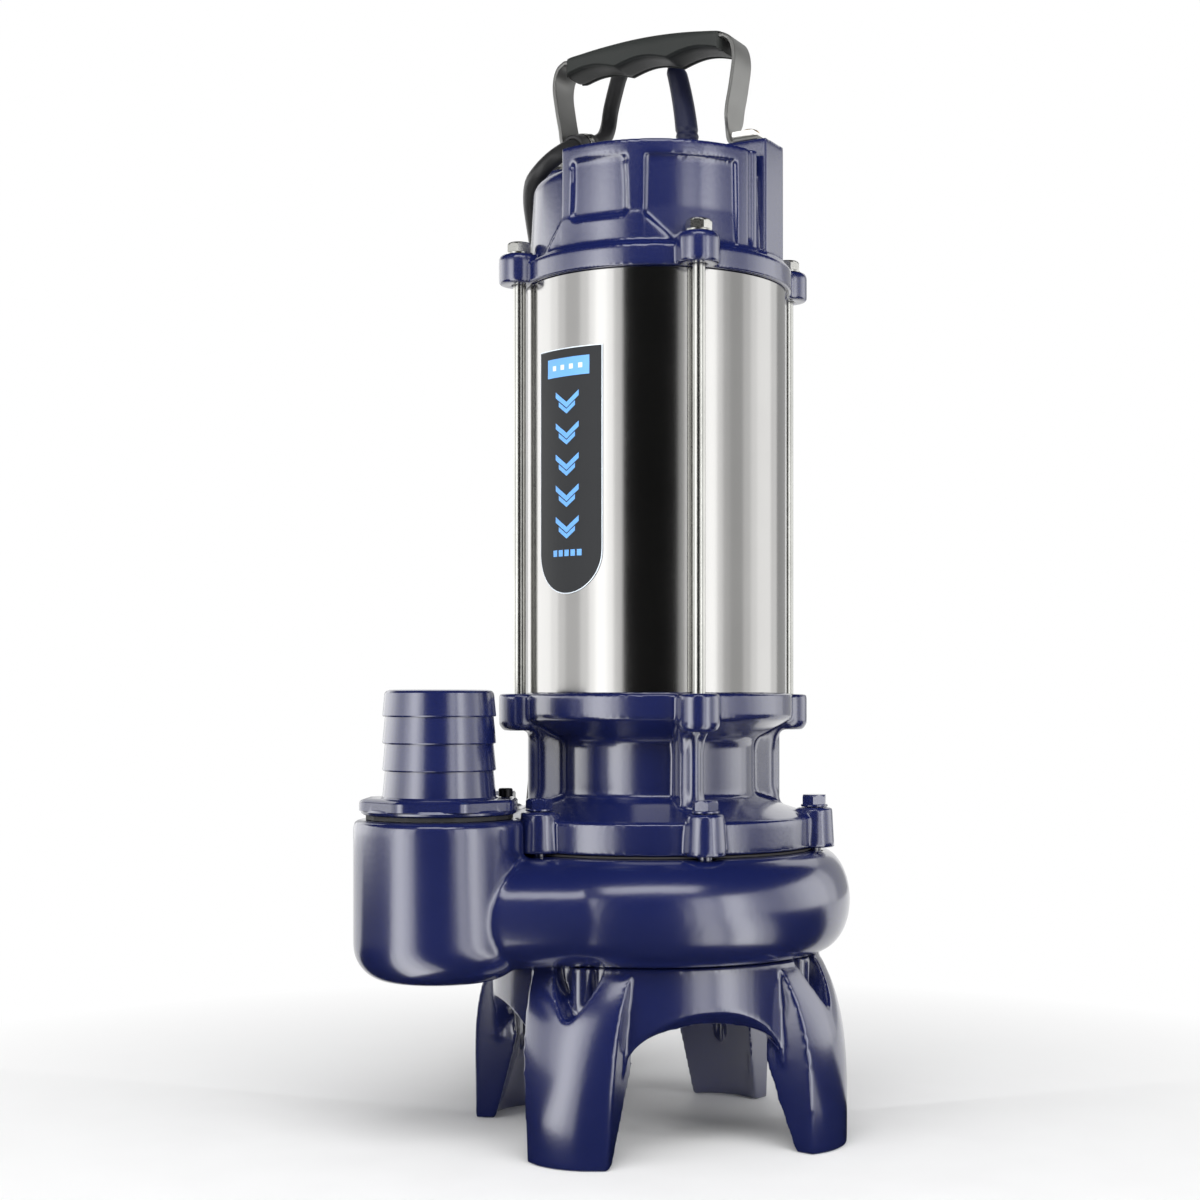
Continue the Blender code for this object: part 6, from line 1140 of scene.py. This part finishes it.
# Studio
# Pale floor under a white surround. Two upright soft lights stand to the left and right of the camera and one
# hangs above it. What gloss shows is apart from that: a ring of cards whose bearings are those of the bright
# bands on the jacket, a strip of floor before each, and dark cloth over the rest of the front.
SOFT_REACH = 2.0
CARD_REACH = 2.2
CARD_TOP = 1.20
CLOTH_REACH = 2.3
ROOF_HEIGHT = 2.6
DARK_LEVEL = 0.006
world = bpy.data.worlds.new("white_surround")
world.use_nodes = True
bpy.context.scene.world = world
nodes = world.node_tree.nodes
links = world.node_tree.links
plain_light = nodes["Background"]
plain_light.inputs["Color"].default_value = (0.98, 0.985, 1.0, 1.0)
plain_light.inputs["Strength"].default_value = 0.30
seen_light = nodes.new("ShaderNodeBackground")
seen_light.inputs["Color"].default_value = (1.0, 1.0, 1.0, 1.0)
rays = nodes.new("ShaderNodeLightPath")
sharp_rays = nodes.new("ShaderNodeMath")
sharp_rays.operation = "MAXIMUM"
links.new(rays.outputs["Is Camera Ray"], sharp_rays.inputs[0])
links.new(rays.outputs["Is Glossy Ray"], sharp_rays.inputs[1])
all_seen = nodes.new("ShaderNodeMath")
all_seen.operation = "MAXIMUM"
links.new(sharp_rays.outputs[0], all_seen.inputs[0])
links.new(rays.outputs["Is Transmission Ray"], all_seen.inputs[1])
choose = nodes.new("ShaderNodeMixShader")
links.new(all_seen.outputs[0], choose.inputs[0])
links.new(plain_light.outputs[0], choose.inputs[1])
links.new(seen_light.outputs[0], choose.inputs[2])
links.new(choose.outputs[0], nodes["World Output"].inputs["Surface"])


def glow(name, strength, colour=(1.0, 1.0, 1.0)):
    """Cloth or lamp face that gives the same light all over."""
    material = bpy.data.materials.new(name)
    material.use_nodes = True
    tree = material.node_tree
    tree.nodes.remove(tree.nodes["Principled BSDF"])
    light = tree.nodes.new("ShaderNodeEmission")
    light.inputs["Color"].default_value = (*colour, 1.0)
    light.inputs["Strength"].default_value = strength
    tree.links.new(light.outputs[0], tree.nodes["Material Output"].inputs["Surface"])
    return material


def studio_card(name, reach, start, end, low, high, material, lights=False):
    """Curved upright card round the pump between two clock angles; without lights it shows in gloss only."""
    mesh = bpy.data.meshes.new(name)
    steps = 24
    places = []
    for level in (low, high):
        places += [at(reach, start + (end - start) * step / steps, level) for step in range(steps + 1)]
    faces = [(step, step + 1, steps + 2 + step, steps + 1 + step) for step in range(steps)]
    mesh.from_pydata(places, [], faces)
    mesh.materials.append(material)
    card = bpy.data.objects.new(name, mesh)
    bpy.context.scene.collection.objects.link(card)
    card.visible_camera = False
    card.visible_shadow = False
    if not lights:
        card.visible_diffuse = False
    return card


def floor_card(name, near, start, end, height, material):
    """Sector of cloth just over the floor, seen in gloss only."""
    card = studio_card(name, CARD_REACH, start, end, height, height, material)
    for vertex in list(card.data.vertices)[:len(card.data.vertices) // 2]:
        out = (vertex.co - AXIS) * (near / CARD_REACH)
        vertex.co = AXIS + Vector((out.x, out.y, height))


soft_light = glow("soft_light", 4.6)
dark_cloth = glow("dark_cloth", DARK_LEVEL)
for side, reach in (("left", -1), ("right", 1)):
    softbox = studio_card(f"{side}_softbox", SOFT_REACH, 31.0 * reach, 62.0 * reach, -0.3, 1.60, soft_light,
                          lights=True)
    softbox.visible_glossy = False
# The cards' edges as clock angles, and the light of the card between each two.
GLOSS_EDGES = (-165.0, -152.0, -128.0, -103.0, -93.0, -84.0, -68.0, -59.0, -53.0, -42.0, -36.0, -28.0, 18.5,
               24.0, 35.0, 40.5, 53.0, 59.0, 66.0, 80.0, 89.0, 97.0, 118.0, 130.0, 158.0)
GLOSS_LIGHTS = (0.70, 1.60, 1.90, 1.60, 1.15, 0.85, 1.25, 1.80, 2.30, 1.90, 1.10, DARK_LEVEL, 0.50, 1.30, 0.60,
                2.10, 1.25, 0.75, 0.60, 0.95, 1.30, 1.55, 1.10, 0.45)
for number, (first, last, strength) in enumerate(zip(GLOSS_EDGES, GLOSS_EDGES[1:], GLOSS_LIGHTS), 1):
    dark = strength == DARK_LEVEL
    aside = not dark and abs(first + last) / 2 > 62.5
    cloth = dark_cloth if dark else glow(f"gloss_light_{number}", strength)
    studio_card(f"gloss_card_{number}", CARD_REACH, first, last, 0.02 if aside else -0.02, CARD_TOP, cloth)
    if not dark and not aside:
        floor_card(f"gloss_floor_{number}", 0.20, first, last, 0.0012, cloth)
studio_card("far_cloth", CLOTH_REACH, -130.0, 130.0, -0.2, 3.0, dark_cloth)
floor_card("floor_cloth", 0.01, -112.0, 112.0, 0.0006, dark_cloth)
roof = studio_card("roof_cloth", CLOTH_REACH, -180.0, 180.0, 3.0, 3.0, dark_cloth)
roof_mesh = bmesh.new()
bmesh.ops.create_circle(roof_mesh, cap_ends=True, radius=2.4, segments=48)
roof_mesh.to_mesh(roof.data)
roof.location = AXIS + Vector((0.0, 0.0, ROOF_HEIGHT))
lamp = bpy.data.objects.new("upper_softbox", bpy.data.lights.new("upper_softbox", "AREA"))
lamp.data.shape = "RECTANGLE"
lamp.data.size = 1.6
lamp.data.size_y = 0.75
lamp.data.energy = 28.0
lamp.visible_glossy = False
lamp.location = AXIS + Vector((0.0, -1.35, 1.45))
lamp.rotation_euler = (Vector((0.0, 0.0, 0.15)) + AXIS - lamp.location).to_track_quat("-Z", "Y").to_euler()
bpy.context.scene.collection.objects.link(lamp)
upper_card = studio_card("upper_gloss_card", CARD_REACH, 0.0, 1.0, 1.0, 1.1, glow("upper_gloss", 1.9))
upper_card.data.clear_geometry()
upper_corners = [(-0.8, -0.22, 0.0), (0.8, -0.22, 0.0), (0.8, 0.22, 0.0), (-0.8, 0.22, 0.0)]
upper_card.data.from_pydata(upper_corners, [], [(0, 1, 2, 3)])
upper_card.location = lamp.location
upper_card.rotation_euler = lamp.rotation_euler
floor_paint = finish("floor_paint", (0.92, 0.92, 0.92), 0.60, grain=30.0, grain_depth=0.0, uneven=0.01)
tree = floor_paint.node_tree
place = tree.nodes.new("ShaderNodeTexCoord")
far_away = tree.nodes.new("ShaderNodeVectorMath")
far_away.operation = "LENGTH"
tree.links.new(place.outputs["Object"], far_away.inputs[0])
fade = tree.nodes.new("ShaderNodeMapRange")
fade.inputs["From Min"].default_value = 0.13
fade.inputs["From Max"].default_value = 0.62
tree.links.new(far_away.outputs["Value"], fade.inputs["Value"])
white = tree.nodes.new("ShaderNodeEmission")
white.inputs["Strength"].default_value = 1.0
fading = tree.nodes.new("ShaderNodeMixShader")
tree.links.new(fade.outputs["Result"], fading.inputs[0])
tree.links.new(tree.nodes["Principled BSDF"].outputs[0], fading.inputs[1])
tree.links.new(white.outputs[0], fading.inputs[2])
tree.links.new(fading.outputs[0], tree.nodes["Material Output"].inputs["Surface"])
floor_mesh = bmesh.new()
bmesh.ops.create_circle(floor_mesh, cap_ends=True, radius=12.0, segments=64)
floor_data = bpy.data.meshes.new("pale_floor")
floor_mesh.to_mesh(floor_data)
floor_data.materials.append(floor_paint)
floor = bpy.data.objects.new("pale_floor", floor_data)
bpy.context.scene.collection.objects.link(floor)

# Finish
# The view layer is brought up to date.
bpy.context.view_layer.update()
